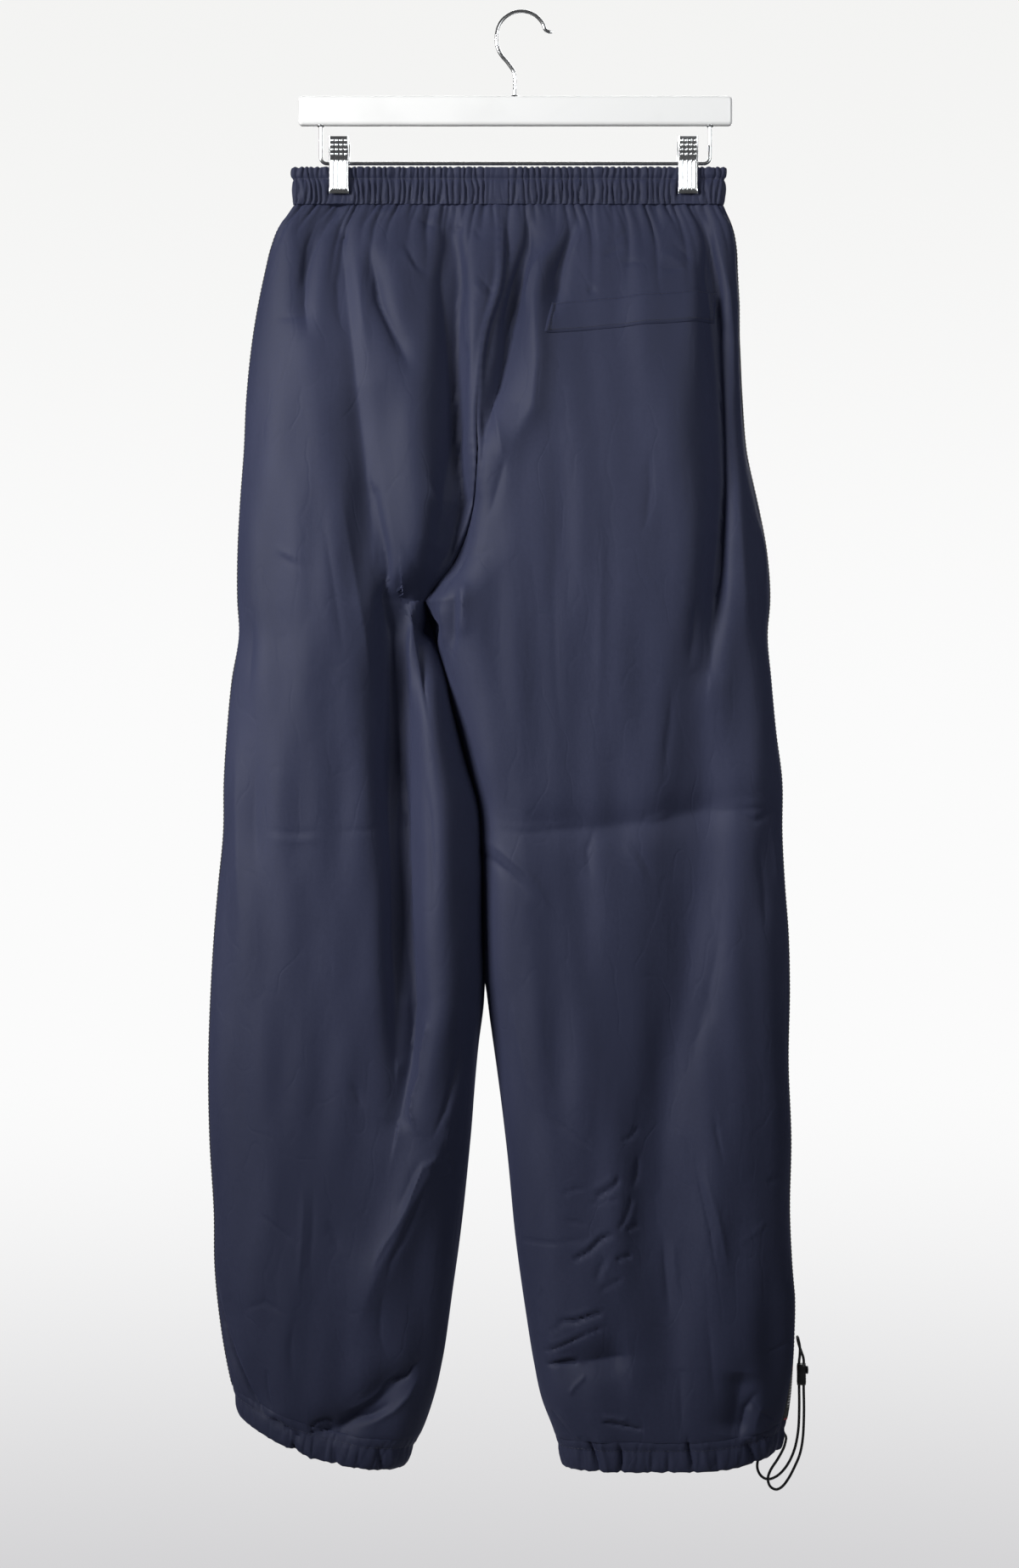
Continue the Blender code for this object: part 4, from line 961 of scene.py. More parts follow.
@dataclass(frozen=True)
class FloorFinish(MouldedFinish):
    """A pale painted floor, which keeps its brightness outside the lights' beams."""

    name: str = "pale_floor"
    colour: Colour = (0.74, 0.74, 0.745)
    rubbed: Colour = (0.70, 0.70, 0.705)
    roughness: float = 0.8
    grain_scale: float = 40.0
    glow: float = 0.62

    def sockets(self, sketch: NodeSketch) -> Sockets:
        """What goes into the shader's sockets."""
        seen = sketch.add("ShaderNodeLightPath").outputs["Is Camera Ray"]
        return super().sockets(sketch) | {"Emission Color": (1.0, 1.0, 1.0, 1.0),
                                          "Emission Strength": sketch.times(seen, self.glow)}


@dataclass(frozen=True)
class ChromeFinish(Finish):
    """Chromed steel with fine drawn lines and slight tarnish."""

    name: str = "bright_chrome"
    bright: Colour = (0.78, 0.79, 0.80)
    tarnish: Colour = (0.50, 0.51, 0.50)
    roughness: float = 0.16

    def sockets(self, sketch: NodeSketch) -> Sockets:
        """What goes into the shader's sockets.

        Args:
            sketch: The material's node tree.

        Returns:
            The values by socket name.
        """
        place = sketch.place("Object")
        drawn = sketch.noise(sketch.vector_maths("MULTIPLY", place, (1.0, 1.0, 0.08)), 2200.0, 2.0)
        patches = sketch.noise(place, 130.0, 4.0)
        return {"Base Color": sketch.mixed(sketch.rise(patches, 0.5, 0.8), self.bright, self.tarnish),
                "Roughness": sketch.maths("MULTIPLY_ADD", patches, 0.2, self.roughness - 0.06),
                "Metallic": 1.0, "Normal": sketch.bumps((drawn, 0.02, 0.25))}


CLOTH = MicrofibreFinish()
THREAD = ThreadFinish()
# The back pocket's thread is real stitching, made darker than the other navy thread as painted shade along
# the welt's seam lines.
POCKET_THREAD_PAINTED_SHADE = ThreadFinish("pocket_thread_painted_shade", (0.008, 0.009, 0.018))
BLACK_THREAD = ThreadFinish("black_thread", (0.012, 0.012, 0.014))
TAPE = TapeFinish()
CORD = CordFinish()
LOCK_PLASTIC = MouldedFinish()
BINDING = MouldedFinish("black_binding", (0.012, 0.012, 0.014), (0.022, 0.022, 0.026), 0.72, 1600.0, 0.12)
PAINTED_BAR = MouldedFinish("white_painted_bar", (0.88, 0.88, 0.87), (0.83, 0.83, 0.82), 0.36, 260.0,
                            0.06, 0.25)
CHROME = ChromeFinish()
EYELET_METAL = ChromeFinish("gunmetal_eyelet", (0.20, 0.20, 0.21), (0.10, 0.10, 0.10), 0.28)


# --- Meshes and pieces ---


def placed(name: str, data: bpy.types.ID) -> Object:
    """A new object in the scene.

    Args:
        name: The object's name.
        data: Its mesh, light or camera.

    Returns:
        The object.
    """
    made = bpy.data.objects.new(name, data)
    bpy.context.scene.collection.objects.link(made)
    return made


def smoothed(mesh: Mesh, sharp_above: float = 50.0) -> Mesh:
    """A mesh shaded smooth, with its edges above an angle in degrees sharp.

    Args:
        mesh: The mesh.
        sharp_above: The angle.

    Returns:
        The same mesh.
    """
    mesh.shade_smooth()
    mesh.set_sharp_from_angle(angle=math.radians(sharp_above))
    return mesh


def new_mesh(name: str, points: Array, faces: Sequence, uv: Array | None = None) -> Mesh:
    """Make a mesh.

    Args:
        name: Its name.
        points: Its points in millimetres.
        faces: Its faces, as rows of point numbers.
        uv: A flat place in metres for each point, or None.

    Returns:
        The mesh, smooth shaded.
    """
    mesh = bpy.data.meshes.new(name)
    mesh.from_pydata((np.asarray(points, float) * MM).tolist(), [], [list(face) for face in faces])
    if uv is not None:
        corner_point = np.zeros(len(mesh.loops), np.int32)
        mesh.loops.foreach_get("vertex_index", corner_point)
        map_mesh(mesh, np.asarray(uv, np.float32)[corner_point])
    smoothed(mesh).update()
    return mesh


def map_mesh(mesh: Mesh, uv: Array) -> None:
    """Give each face corner its place on a flat map."""
    mesh.uv_layers.new(name="UVMap").data.foreach_set("uv", np.asarray(uv, np.float32).ravel())


def new_piece(name: str, mesh: Mesh, finish: Finish, replaced: Sequence[str] = ()) -> Object:
    """Make an object from a mesh, with its finish and the nodes it stands for.

    Args:
        name: The piece's name.
        mesh: Its finished mesh.
        finish: What it is made of.
        *replaced: The CAD nodes that it stands for.

    Returns:
        The piece.
    """
    mesh.materials.clear()
    mesh.materials.append(finish.material())
    made = placed(name, mesh)
    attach(made, BODY)
    if replaced:
        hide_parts(*replaced)
    LOG.info("%s: %d faces", name, len(mesh.polygons))
    return made


def mesh_from(name: str, builder: bmesh.types.BMesh, sharp_above: float = 50.0) -> Mesh:
    """A smooth mesh from a bmesh, with its faces turned outwards.

    Args:
        name: The mesh's name.
        builder: The bmesh, which is freed.
        sharp_above: The angle above which an edge stays sharp.

    Returns:
        The mesh.
    """
    bmesh.ops.recalc_face_normals(builder, faces=builder.faces)
    mesh = bpy.data.meshes.new(name)
    builder.to_mesh(mesh)
    builder.free()
    return smoothed(mesh, sharp_above)


def turn_outwards(mesh: Mesh) -> Mesh:
    """A closed mesh with its faces turned outwards.

    Args:
        mesh: The closed mesh.

    Returns:
        The same mesh.
    """
    builder = bmesh.new()
    builder.from_mesh(mesh)
    bmesh.ops.recalc_face_normals(builder, faces=builder.faces)
    builder.to_mesh(mesh)
    builder.free()
    return mesh


def joined(name: str, meshes: Sequence[Mesh]) -> Mesh:
    """Join several meshes into one and delete them.

    Args:
        name: The new mesh's name.
        meshes: The meshes, which are deleted.

    Returns:
        The joined mesh.
    """
    builder = bmesh.new()
    for mesh in meshes:
        builder.from_mesh(mesh)
    result = bpy.data.meshes.new(name)
    builder.to_mesh(result)
    builder.free()
    for mesh in meshes:
        bpy.data.meshes.remove(mesh)
    return smoothed(result)


def grid_quads(rows: int, columns: int, closed: bool = False) -> Array:
    """The quads of a grid, with its columns joined round if it is closed.

    Args:
        rows: Points down the grid.
        columns: Points along a row.
        closed: Whether each row is a ring.

    Returns:
        Four point numbers for each quad.
    """
    row, column = np.meshgrid(np.arange(rows - 1), np.arange(columns if closed else columns - 1),
                              indexing="ij")
    following = (column + 1) % columns
    return np.stack((row * columns + column, (row + 1) * columns + column,
                     (row + 1) * columns + following, row * columns + following), axis=-1).reshape(-1, 4)


def capped_quads(rows: int, columns: int) -> list[list[int]]:
    """A closed grid's quads, and its ends' triangles to two points that follow the grid's own.

    Args:
        rows: Rings of the grid.
        columns: Points in a ring.

    Returns:
        The point numbers of each face.
    """
    count = rows * columns
    caps = [[count, (k + 1) % columns, k] for k in range(columns)]
    caps += [[count + 1, count - columns + k, count - columns + (k + 1) % columns] for k in range(columns)]
    return grid_quads(rows, columns, True).tolist() + caps


def shell(name: str, outer: Array, inner: Array, direction: Array, uv: Array | None = None,
          closed: bool = False, lining_step: int = 1) -> Mesh:
    """A thin wall between two grids.

    Args:
        name: The mesh's name.
        outer: Grid of outer points, in millimetres.
        inner: Grid of inner points of the same size.
        direction: Grid of outward directions.
        uv: Grid of flat places in metres, or None.
        closed: Whether the columns run all round.
        lining_step: The inner grid keeps each row and column with this number, on an open wall.

    Returns:
        The closed mesh.
    """
    rows, columns = outer.shape[:2]
    count, step = rows * columns, lining_step
    lining = inner[::step, ::step]
    quads = grid_quads(rows, columns, closed)
    inside = grid_quads(*lining.shape[:2], closed) + count
    row, column = rows // 2, columns // 3
    corner = outer[row, column]
    facing = np.cross(outer[row + 1, column] - corner, outer[row, column + 1] - corner)
    if np.dot(facing, direction[row, column]) > 0:
        inside = inside[:, ::-1]
    else:
        quads = quads[:, ::-1]

    def rims(height: int, width: int) -> list[Array]:
        """The border of a grid as closed runs of its points."""
        top, bottom = np.arange(width), (height - 1) * width + np.arange(width)
        if closed:
            return [np.append(top, top[0]), np.append(bottom, bottom[0])[::-1]]
        left, right = np.arange(height) * width, np.arange(height) * width + width - 1
        return [np.concatenate((top, right[1:], bottom[::-1][1:], left[::-1][1:]))]

    walls = [[*map(int, fine[place * step:(place + 1) * step + 1]), int(count + end), int(count + start)]
             for fine, coarse in zip(rims(rows, columns), rims(*lining.shape[:2]))
             for place, (start, end) in enumerate(zip(coarse[:-1], coarse[1:]))]
    first_edges = {(int(a), int(b)) for a, b in zip(quads[0], np.roll(quads[0], -1))}
    if (walls[0][0], walls[0][1]) in first_edges:
        walls = [wall[::-1] for wall in walls]
    flat = None if uv is None else np.concatenate((uv.reshape(-1, 2), uv[::step, ::step].reshape(-1, 2)))
    points = np.concatenate((outer.reshape(-1, 3), lining.reshape(-1, 3)))
    return new_mesh(name, points, [*quads.tolist(), *inside.tolist(), *walls], flat)


def tube(name: str, path: Array, radius: Array | float, sides: int = 12) -> Mesh:
    """A round tube along a path, with closed ends.

    Args:
        name: The mesh's name.
        path: Points along its middle, in millimetres.
        radius: Its radius, or one for each point.
        sides: Faces round it.

    Returns:
        The mesh, with a map that runs once round it and along it in metres.
    """
    path = np.asarray(path, float)
    radius = np.broadcast_to(np.asarray(radius, float), len(path))
    tangent = np.gradient(path, axis=0)
    tangent /= np.linalg.norm(tangent, axis=1, keepdims=True)
    side = np.cross(tangent[0], (0.0, 0.0, 1.0) if abs(tangent[0][2]) < 0.9 else (0.0, 1.0, 0.0))
    turn, rings = np.linspace(0, math.tau, sides + 1)[:-1], []
    for point, reach, step in zip(path, radius, tangent):
        side = side - step * np.dot(side, step)
        side /= np.linalg.norm(side)
        up = np.cross(step, side)
        rings += [point + reach * (math.cos(a) * side + math.sin(a) * up) for a in turn]
    travelled = np.concatenate(([0.0], np.cumsum(np.linalg.norm(np.diff(path, axis=0), axis=1)))) * MM
    count = len(rings)
    faces = capped_quads(len(path), sides)
    faces[:count - sides] = [face[::-1] for face in faces[:count - sides]]
    mesh = bpy.data.meshes.new(name)
    mesh.from_pydata((np.concatenate((rings, path[:1], path[-1:])) * MM).tolist(), [], faces)
    uv = []
    for face in faces:
        wraps = len(face) == 4 and any(k % sides == sides - 1 for k in face)
        for number in face:
            if number < count:
                around = (number % sides) / sides
                uv.append((1.0 if wraps and around == 0.0 else around, travelled[number // sides]))
            else:
                uv.append((0.5, travelled[0 if number == count else -1]))
    map_mesh(mesh, uv)
    return smoothed(turn_outwards(mesh))


def turned_form(name: str, profile: Sequence[tuple[float, float]], centre: Point, axis: Point,
                sides: int = 28) -> Mesh:
    """A turned form about an axis.

    Args:
        name: The mesh's name.
        profile: Its outline as (radius, distance along the axis); a ring's outline comes back to
            its start, and any other starts and ends on the axis.
        centre: The point the distances start from.
        axis: The axis's direction.
        sides: Faces round it.

    Returns:
        The closed mesh.
    """
    turn = Vector((0, 0, 1)).rotation_difference(Vector(axis).normalized()).to_matrix()
    closed_ring = profile[0] == profile[-1]
    builder = bmesh.new()
    rings = []
    for radius, reach in profile[:-1] if closed_ring else profile:
        spots = [(0, 0, reach)] if radius < 1e-6 else [
            (radius * math.cos(k * math.tau / sides), radius * math.sin(k * math.tau / sides), reach)
            for k in range(sides)]
        rings.append([builder.verts.new((Vector(centre) + turn @ Vector(spot)) * MM) for spot in spots])
    for first, second in list(zip(rings, rings[1:])) + ([(rings[-1], rings[0])] if closed_ring else []):
        for k in range(sides):
            corners = [first[k % len(first)], first[(k + 1) % len(first)],
                       second[(k + 1) % len(second)], second[k % len(second)]]
            unique = list(dict.fromkeys(corners))
            if len(unique) > 2:
                builder.faces.new(unique)
    return mesh_from(name, builder)


# --- Stitches, gathers and stamped metal, by Geometry Nodes ---


class NodeTool:
    """A Geometry Nodes tree with named inputs, laid on an object and then made a plain mesh."""

    def __init__(self, name: str, **inputs: float) -> None:
        """Start a tree.

        Args:
            name: The tree's name.
            **inputs: Its inputs and their defaults, with _ for a space in their names.
        """
        self.tree = bpy.data.node_groups.new(name, "GeometryNodeTree")
        face = self.tree.interface
        face.new_socket("Geometry", in_out="INPUT", socket_type="NodeSocketGeometry")
        face.new_socket("Geometry", in_out="OUTPUT", socket_type="NodeSocketGeometry")
        self.identifiers = {}
        for label, default in inputs.items():
            kind = "NodeSocketInt" if isinstance(default, int) else "NodeSocketFloat"
            socket = face.new_socket(label.replace("_", " "), in_out="INPUT", socket_type=kind)
            socket.default_value = default
            self.identifiers[label] = socket.identifier
        material = face.new_socket("Material", in_out="INPUT", socket_type="NodeSocketMaterial")
        self.identifiers["Material"] = material.identifier
        self.sketch = NodeSketch(self.tree)
        self.given = self.sketch.add("NodeGroupInput").outputs
        self.finish_with(self.build(self.sketch, self.given))

    def build(self, sketch: NodeSketch, given: Sequence[Socket]) -> Socket:
        """Add the tree's own nodes and give the geometry they make."""
        raise NotImplementedError

    def finish_with(self, geometry: Socket) -> None:
        """End the tree in Realize Instances and Set Material.

        Args:
            geometry: What the tree has made.
        """
        real = self.sketch.add("GeometryNodeRealizeInstances", geometry).outputs[0]
        smooth = self.sketch.add("GeometryNodeSetShadeSmooth", real).outputs[0]
        painted = self.sketch.add("GeometryNodeSetMaterial", smooth,
                                  named={"Material": self.given["Material"]})
        self.sketch.add("NodeGroupOutput", painted.outputs[0])

    def attribute(self, name: str, kind: str = "FLOAT") -> Socket:
        """A named attribute of the points."""
        return self.sketch.add("GeometryNodeInputNamedAttribute", name, data_type=kind).outputs[0]

    def moved(self, offset: Socket) -> Socket:
        """The given geometry with its points moved."""
        return self.sketch.add("GeometryNodeSetPosition", self.given["Geometry"],
                               named={"Offset": offset}).outputs[0]

    def apply(self, mesh: Mesh, finish: Finish, **values: float) -> Mesh:
        """Run the tree on a mesh.

        Args:
            mesh: The mesh it starts from, which is deleted afterwards.
            finish: The finish of what it makes.
            **values: The inputs to set, with _ for a space in their names.

        Returns:
            The tree's result as a plain mesh.
        """
        holder = placed("bench", mesh)
        modifier = holder.modifiers.new("nodes", "NODES")
        modifier.node_group = self.tree
        for label, value in {**values, "Material": finish.material()}.items():
            modifier[self.identifiers[label]] = value
        graph = bpy.context.evaluated_depsgraph_get()
        made = bpy.data.meshes.new_from_object(holder.evaluated_get(graph))
        holder.modifiers.clear()
        bpy.data.objects.remove(holder)
        bpy.data.meshes.remove(mesh)
        return made


class StitchRun(NodeTool):
    """Lays stitches along edges whose points carry the outward direction as away."""

    def __init__(self) -> None:
        """Build the tree."""
        super().__init__("stitch_run", Pitch=3.0 * MM, Length=2.1 * MM, Thickness=0.42 * MM)

    def build(self, sketch: NodeSketch, given: Sequence[Socket]) -> Socket:
        """Put a bead at each pitch, turned along the run and outwards.

        Args:
            sketch: The tool's node tree.
            given: The tool's named inputs.

        Returns:
            The beads.
        """
        curve = sketch.add("GeometryNodeMeshToCurve", given["Geometry"]).outputs[0]
        spread = sketch.add("GeometryNodeCurveToPoints", curve, named={"Length": given["Pitch"]},
                            mode="LENGTH").outputs
        along = sketch.add("FunctionNodeAlignRotationToVector", None, None, spread["Tangent"], axis="X")
        stood = sketch.add("FunctionNodeAlignRotationToVector", along.outputs[0], None,
                           self.attribute("away", "FLOAT_VECTOR"), axis="Z", pivot_axis="X")
        bead = sketch.add("GeometryNodeMeshUVSphere", 6, 4, 0.5).outputs[0]
        size = sketch.vector(given["Length"], given["Thickness"], given["Thickness"])
        shaped = sketch.add("GeometryNodeTransform", bead, named={"Scale": size})
        return sketch.add("GeometryNodeInstanceOnPoints", spread[0], named={
            "Instance": shaped.outputs[0], "Rotation": stood.outputs[0]}).outputs[0]

    def sew(self, name: str, lines: Sequence[tuple[Array, Array]], pitch: float, length: float,
            thickness: float, finish: Finish = THREAD, slot: Slot = Slot.CLOTH) -> Object:
        """Sew along lines.

        Args:
            name: The piece's name.
            lines: Each line's points and outward directions, in millimetres.
            pitch: Distance from stitch to stitch.
            length: A stitch's length.
            thickness: A stitch's thickness.
            finish: The thread's finish.
            slot: Not used.

        Returns:
            All the stitches as one object.
        """
        edges, count = [], 0
        for line, _ in lines:
            edges += [(count + k, count + k + 1) for k in range(len(line) - 1)]
            count += len(line)
        points, away = (np.concatenate(part) for part in zip(*lines))
        mesh = bpy.data.meshes.new(name)
        mesh.from_pydata((points * MM).tolist(), edges, [])
        give(mesh, "away", away)
        made = self.apply(mesh, finish, Pitch=pitch * MM, Length=length * MM, Thickness=thickness * MM)
        return new_piece(name, made, finish)


class ElasticGathers(NodeTool):
    """Swells a ring into pleats: rounded ridges with narrow grooves, uneven along the ring.

    Its points carry around (0 to 1 round the ring), swell and lift (a ridge's height outwards and
    upwards, in metres) and away (the outward direction).
    """

    def __init__(self) -> None:
        """Build the tree."""
        super().__init__("elastic_gathers", Count=168, Wobble=0.35, Unevenness=0.5, Seed=3.0)

    def build(self, sketch: NodeSketch, given: Sequence[Socket]) -> Socket:
        """Move the points by a wave whose phase and height drift along the ring.

        Args:
            sketch: The tool's node tree.
            given: The tool's named inputs.

        Returns:
            The gathered mesh.
        """
        around = self.attribute("around")
        turn = sketch.times(around, math.tau)
        height = sketch.parts(sketch.add("GeometryNodeInputPosition").outputs[0])[2]
        ring = sketch.times(given["Count"], 0.09)
        place = sketch.vector(sketch.times(sketch.maths("COSINE", turn), ring),
                              sketch.times(sketch.maths("SINE", turn), ring),
                              sketch.maths("MULTIPLY_ADD", height, 38.0, given["Seed"]))
        drift, size = (sketch.minus(sketch.noise(place, scale, 2.0), 0.5) for scale in (0.9, 2.3))
        phase = sketch.maths("MULTIPLY_ADD", around, given["Count"],
                             sketch.times(drift, given["Wobble"]))
        ridge = sketch.maths("ABSOLUTE", sketch.maths("COSINE", sketch.times(phase, math.pi)))
        wave = sketch.maths("MULTIPLY_ADD", ridge, 2.0, -1.15)
        uneven = sketch.maths("MULTIPLY_ADD", size, given["Unevenness"], 1.0)
        depth = sketch.times(wave, uneven, self.attribute("swell"))
        outwards = sketch.vector_maths("SCALE", self.attribute("away", "FLOAT_VECTOR"), scale=depth)
        raised = sketch.vector(0.0, 0.0, sketch.times(wave, self.attribute("lift")))
        return self.moved(sketch.vector_maths("ADD", outwards, raised))


class StampedJaw(NodeTool):
    """Presses ribs into the lower part of a jaw's plate and dimples into its upper part.

    Its points carry across and up (places on the plate, in metres), plate (0 to 1) and away.
    """

    def __init__(self) -> None:
        """Build the tree."""
        super().__init__("stamped_jaw", Ribs=4, Rib_width=14.0 * MM, Rib_depth=0.9 * MM,
                         Rib_bottom=3.2 * MM, Rib_top=26.5 * MM, Dimple_pitch=3.6 * MM,
                         Dimple_depth=0.55 * MM, Dimple_bottom=29.0 * MM, Dimple_top=43.4 * MM)

    def between(self, value: Socket, low: Socket, high: Socket, soft: float = 0.8 * MM) -> Socket:
        """1 between two heights with a soft end at each, and 0 beyond them.

        Args:
            value: The height.
            low: Where the band starts.
            high: Where it ends.
            soft: The length of each soft end.

        Returns:
            The band's share.
        """
        sketch = self.sketch
        ends = [sketch.maths("DIVIDE", sketch.minus(*pair), soft) for pair in ((value, low), (high, value))]
        return sketch.rise(sketch.maths("MINIMUM", *ends), 0.0, 1.0)

    def build(self, sketch: NodeSketch, given: Sequence[Socket]) -> Socket:
        """Move the plate's points by the ribs and the dimples.

        Args:
            sketch: The tool's node tree.
            given: The tool's named inputs.

        Returns:
            The stamped mesh.
        """
        across, up = self.attribute("across"), self.attribute("up")
        share = sketch.maths("DIVIDE", across, given["Rib width"])
        wave = sketch.maths("COSINE", sketch.times(share, given["Ribs"], math.tau))
        inside = sketch.maths("LESS_THAN", sketch.maths("ABSOLUTE", share), 0.5)
        ribs = sketch.times(wave, -1.0, inside, self.between(up, given["Rib bottom"], given["Rib top"]))
        step = sketch.maths("DIVIDE", math.tau, given["Dimple pitch"])
        columns, rows = (
            sketch.rise(sketch.maths("COSINE", sketch.maths("MULTIPLY_ADD", way, step, math.pi)), -0.2, 1.0)
            for way in (across, sketch.minus(up, given["Dimple bottom"])))
        narrow = sketch.maths("LESS_THAN", sketch.maths("ABSOLUTE", across),
                              sketch.times(given["Dimple pitch"], 2.0))
        dimples = sketch.times(columns, rows, narrow,
                               self.between(up, given["Dimple bottom"], given["Dimple top"]))
        depth = sketch.plus(sketch.times(ribs, sketch.times(given["Rib depth"], 0.5)),
                            sketch.times(dimples, given["Dimple depth"]))
        shown = sketch.times(depth, self.attribute("plate"))
        away = self.attribute("away", "FLOAT_VECTOR")
        return self.moved(sketch.vector_maths("SCALE", away, scale=shown))


def give(mesh: Mesh, name: str, values: Array) -> None:
    """Store a number or a vector on each point of a mesh.

    Args:
        mesh: The mesh.
        name: The attribute's name.
        values: One number or vector for each point.
    """
    kind, field_name = ("FLOAT_VECTOR", "vector") if values.ndim == 2 else ("FLOAT", "value")
    layer = mesh.attributes.new(name, kind, "POINT")
    layer.data.foreach_set(field_name, values.astype(np.float32).ravel())


# --- The garment ---

Places = Callable[[Array], Array]


@dataclass(frozen=True)
class GarmentForm:
    """The garment's outer surface with its large folds, as the solids have it."""

    waist_seam: float = -154.5
    crotch: float = -475.0
    hem_seam: float = -1146.8
    hem_bottom: float = -1171.0
    seam_gap: float = 0.3
    pocket_top: float = -232.5
    pocket_height: float = 25.5
    pocket_tilt: float = 7.0
    pocket_reach: float = 45.0
    pinch_start: float = -300.0
    pinch_power: float = 2.2
    crown: float = 0.08
    lift_start: float = 900.0
    lift_end: float = 1140.0
    flare_depth: float = 9.0
    flare_reach: Pair = (4.0, 38.0)
    samples: int = 361
    probe: float = 1.5

    def hem_lift(self, side: Side, share: Array) -> Array:
        """How far the hem swings up, from the side seam (share 0) to the inseam (share 1).

        Args:
            side: Which leg.
            share: Places across the leg.

        Returns:
            The rise in millimetres.
        """
        if side is Side.LEFT:
            return 40.0 * (1 - share) ** 2
        return 11.0 * np.clip(1 - share / 0.4, 0, 1) ** 2

    def row_lift(self, face: Face, side: Side, share: Array, height: Array) -> Array:
        """How far a row leaves its level: at the hems, and along the back pocket.

        Args:
            face: The face.
            side: The side.
            share: Places along the row, 0 at the side seam and 1 at the inner seam.
            height: The rows' heights.

        Returns:
            The rise of each point of each row.
        """
        lift = self.hem_lift(side, share) * ease(-height, self.lift_start, self.lift_end)
        if face is Face.BACK and side is Side.RIGHT:
            tilt = self.pocket_tilt
            slant = np.interp(share, (0, 0.09, 0.42, 0.76, 1), (0, tilt, 0, -tilt, 0))
            middle = self.pocket_top - self.pocket_height / 2
            lift = lift + slant * np.exp(-((height - middle) / self.pocket_reach) ** 2)
        return lift

    def rows(self, face: Face, side: Side, heights: Array) -> Array:
        """Rows of closely spaced points, each from the side seam to the inner seam.

        Args:
            face: Back or front.
            side: Left or right.
            heights: The rows' heights.

        Returns:
            The points, by row and column.
        """
        start, end = np.zeros_like(heights), np.ones_like(heights)
        seam_heights = heights + self.row_lift(Face.FRONT, side, start, heights)
        flare = FLARE.straight(side.word, seam_heights)
        outer = OUTLINE.at(side.word, seam_heights) - side.value * flare
        leg_heights = heights + self.row_lift(Face.FRONT, side, end, heights)
        apart = INSEAM.at("right", leg_heights) - INSEAM.at("left", leg_heights)
        touching = (apart / 2 + 0.1) * (1 - ease(apart, 0.8, 2.5))
        legs = INSEAM.at(side.word, leg_heights) - side.value * touching
        inner = np.where(heights > self.crotch + 0.01, CENTRE.at(face.word, heights), legs)
        share = ((1 - np.cos(np.linspace(0, math.pi, self.samples))) / 2)[None, :]
        level, width = heights[:, None], np.abs(inner - outer)[:, None]
        x = outer[:, None] + (inner - outer)[:, None] * share
        z = level + self.row_lift(face, side, share, level)
        narrowing = (self.pinch_start - level) / (self.pinch_start - self.crotch)
        pinch = np.clip(narrowing, 0, 1) ** self.pinch_power
        at_side = quarter_round(share * width, FORM.at("side_round", level))
        at_inner = quarter_round((1 - share) * width, FORM.at("inseam_round", level))
        fullness = at_side * (1 - pinch * (1 - at_inner))
        depth = FORM.at(face.word, level)
        crowned = depth * fullness * (1 - self.crown + self.crown * np.sin(math.pi * np.minimum(share, 0.5)))
        relief = sum(fold.relief(x, z) for fold in FOLDS[face])
        relief = relief * fullness ** 0.7 * np.minimum(1.0, depth / 26.0)
        relief = relief * ease(self.waist_seam - level, 0.0, 8.0)
        out = np.maximum(crowned + relief, 0.45 * crowned)
        if face is Face.FRONT:
            swelling = ease(out, 0.0, self.flare_depth) * (1 - ease(share * width, *self.flare_reach))
            x = x + side.value * flare[:, None] * swelling
        return np.stack((x, face.value * out, z), axis=-1)

    def grid(self, face: Face, side: Side, heights: Array, places: Places) -> tuple[Array, Array]:
        """Points at chosen distances along each row.

        Args:
            face: The face.
            side: The side.
            heights: The rows' heights.
            places: Gives the distances from the side seam, for the rows' lengths.

        Returns:
            The grid of points and the grid of outward directions.
        """
        rows = self.rows(face, side, heights)
        steps = np.linalg.norm(np.diff(rows, axis=1), axis=2)
        travelled = np.concatenate((np.zeros((len(rows), 1)), np.cumsum(steps, axis=1)), axis=1)
        wanted = places(travelled[:, -1])
        before, grid, after = (
            np.array([[np.interp(at, run, row[:, axis]) for axis in range(3)]
                      for at, run, row in zip(wanted + shift, travelled, rows)]).transpose(0, 2, 1)
            for shift in (-self.probe, 0.0, self.probe))
        down = np.gradient(grid, axis=0) if len(heights) > 1 else np.full_like(grid, (0.0, 0.0, -1.0))
        direction = np.cross(after - before, down) * face.value * -side.value
        return grid, direction / np.linalg.norm(direction, axis=2, keepdims=True)


def spread_evenly(columns: int) -> Places:
    """Places that share out each row evenly."""
    shares = np.linspace(0, 1, columns)
    return lambda lengths: lengths[:, None] * shares[None, :]


def spread_between(start: float, end: float, columns: int) -> Places:
    """The same places on every row, between two distances from the side seam."""
    return lambda lengths: np.tile(np.linspace(start, end, columns), (len(lengths), 1))


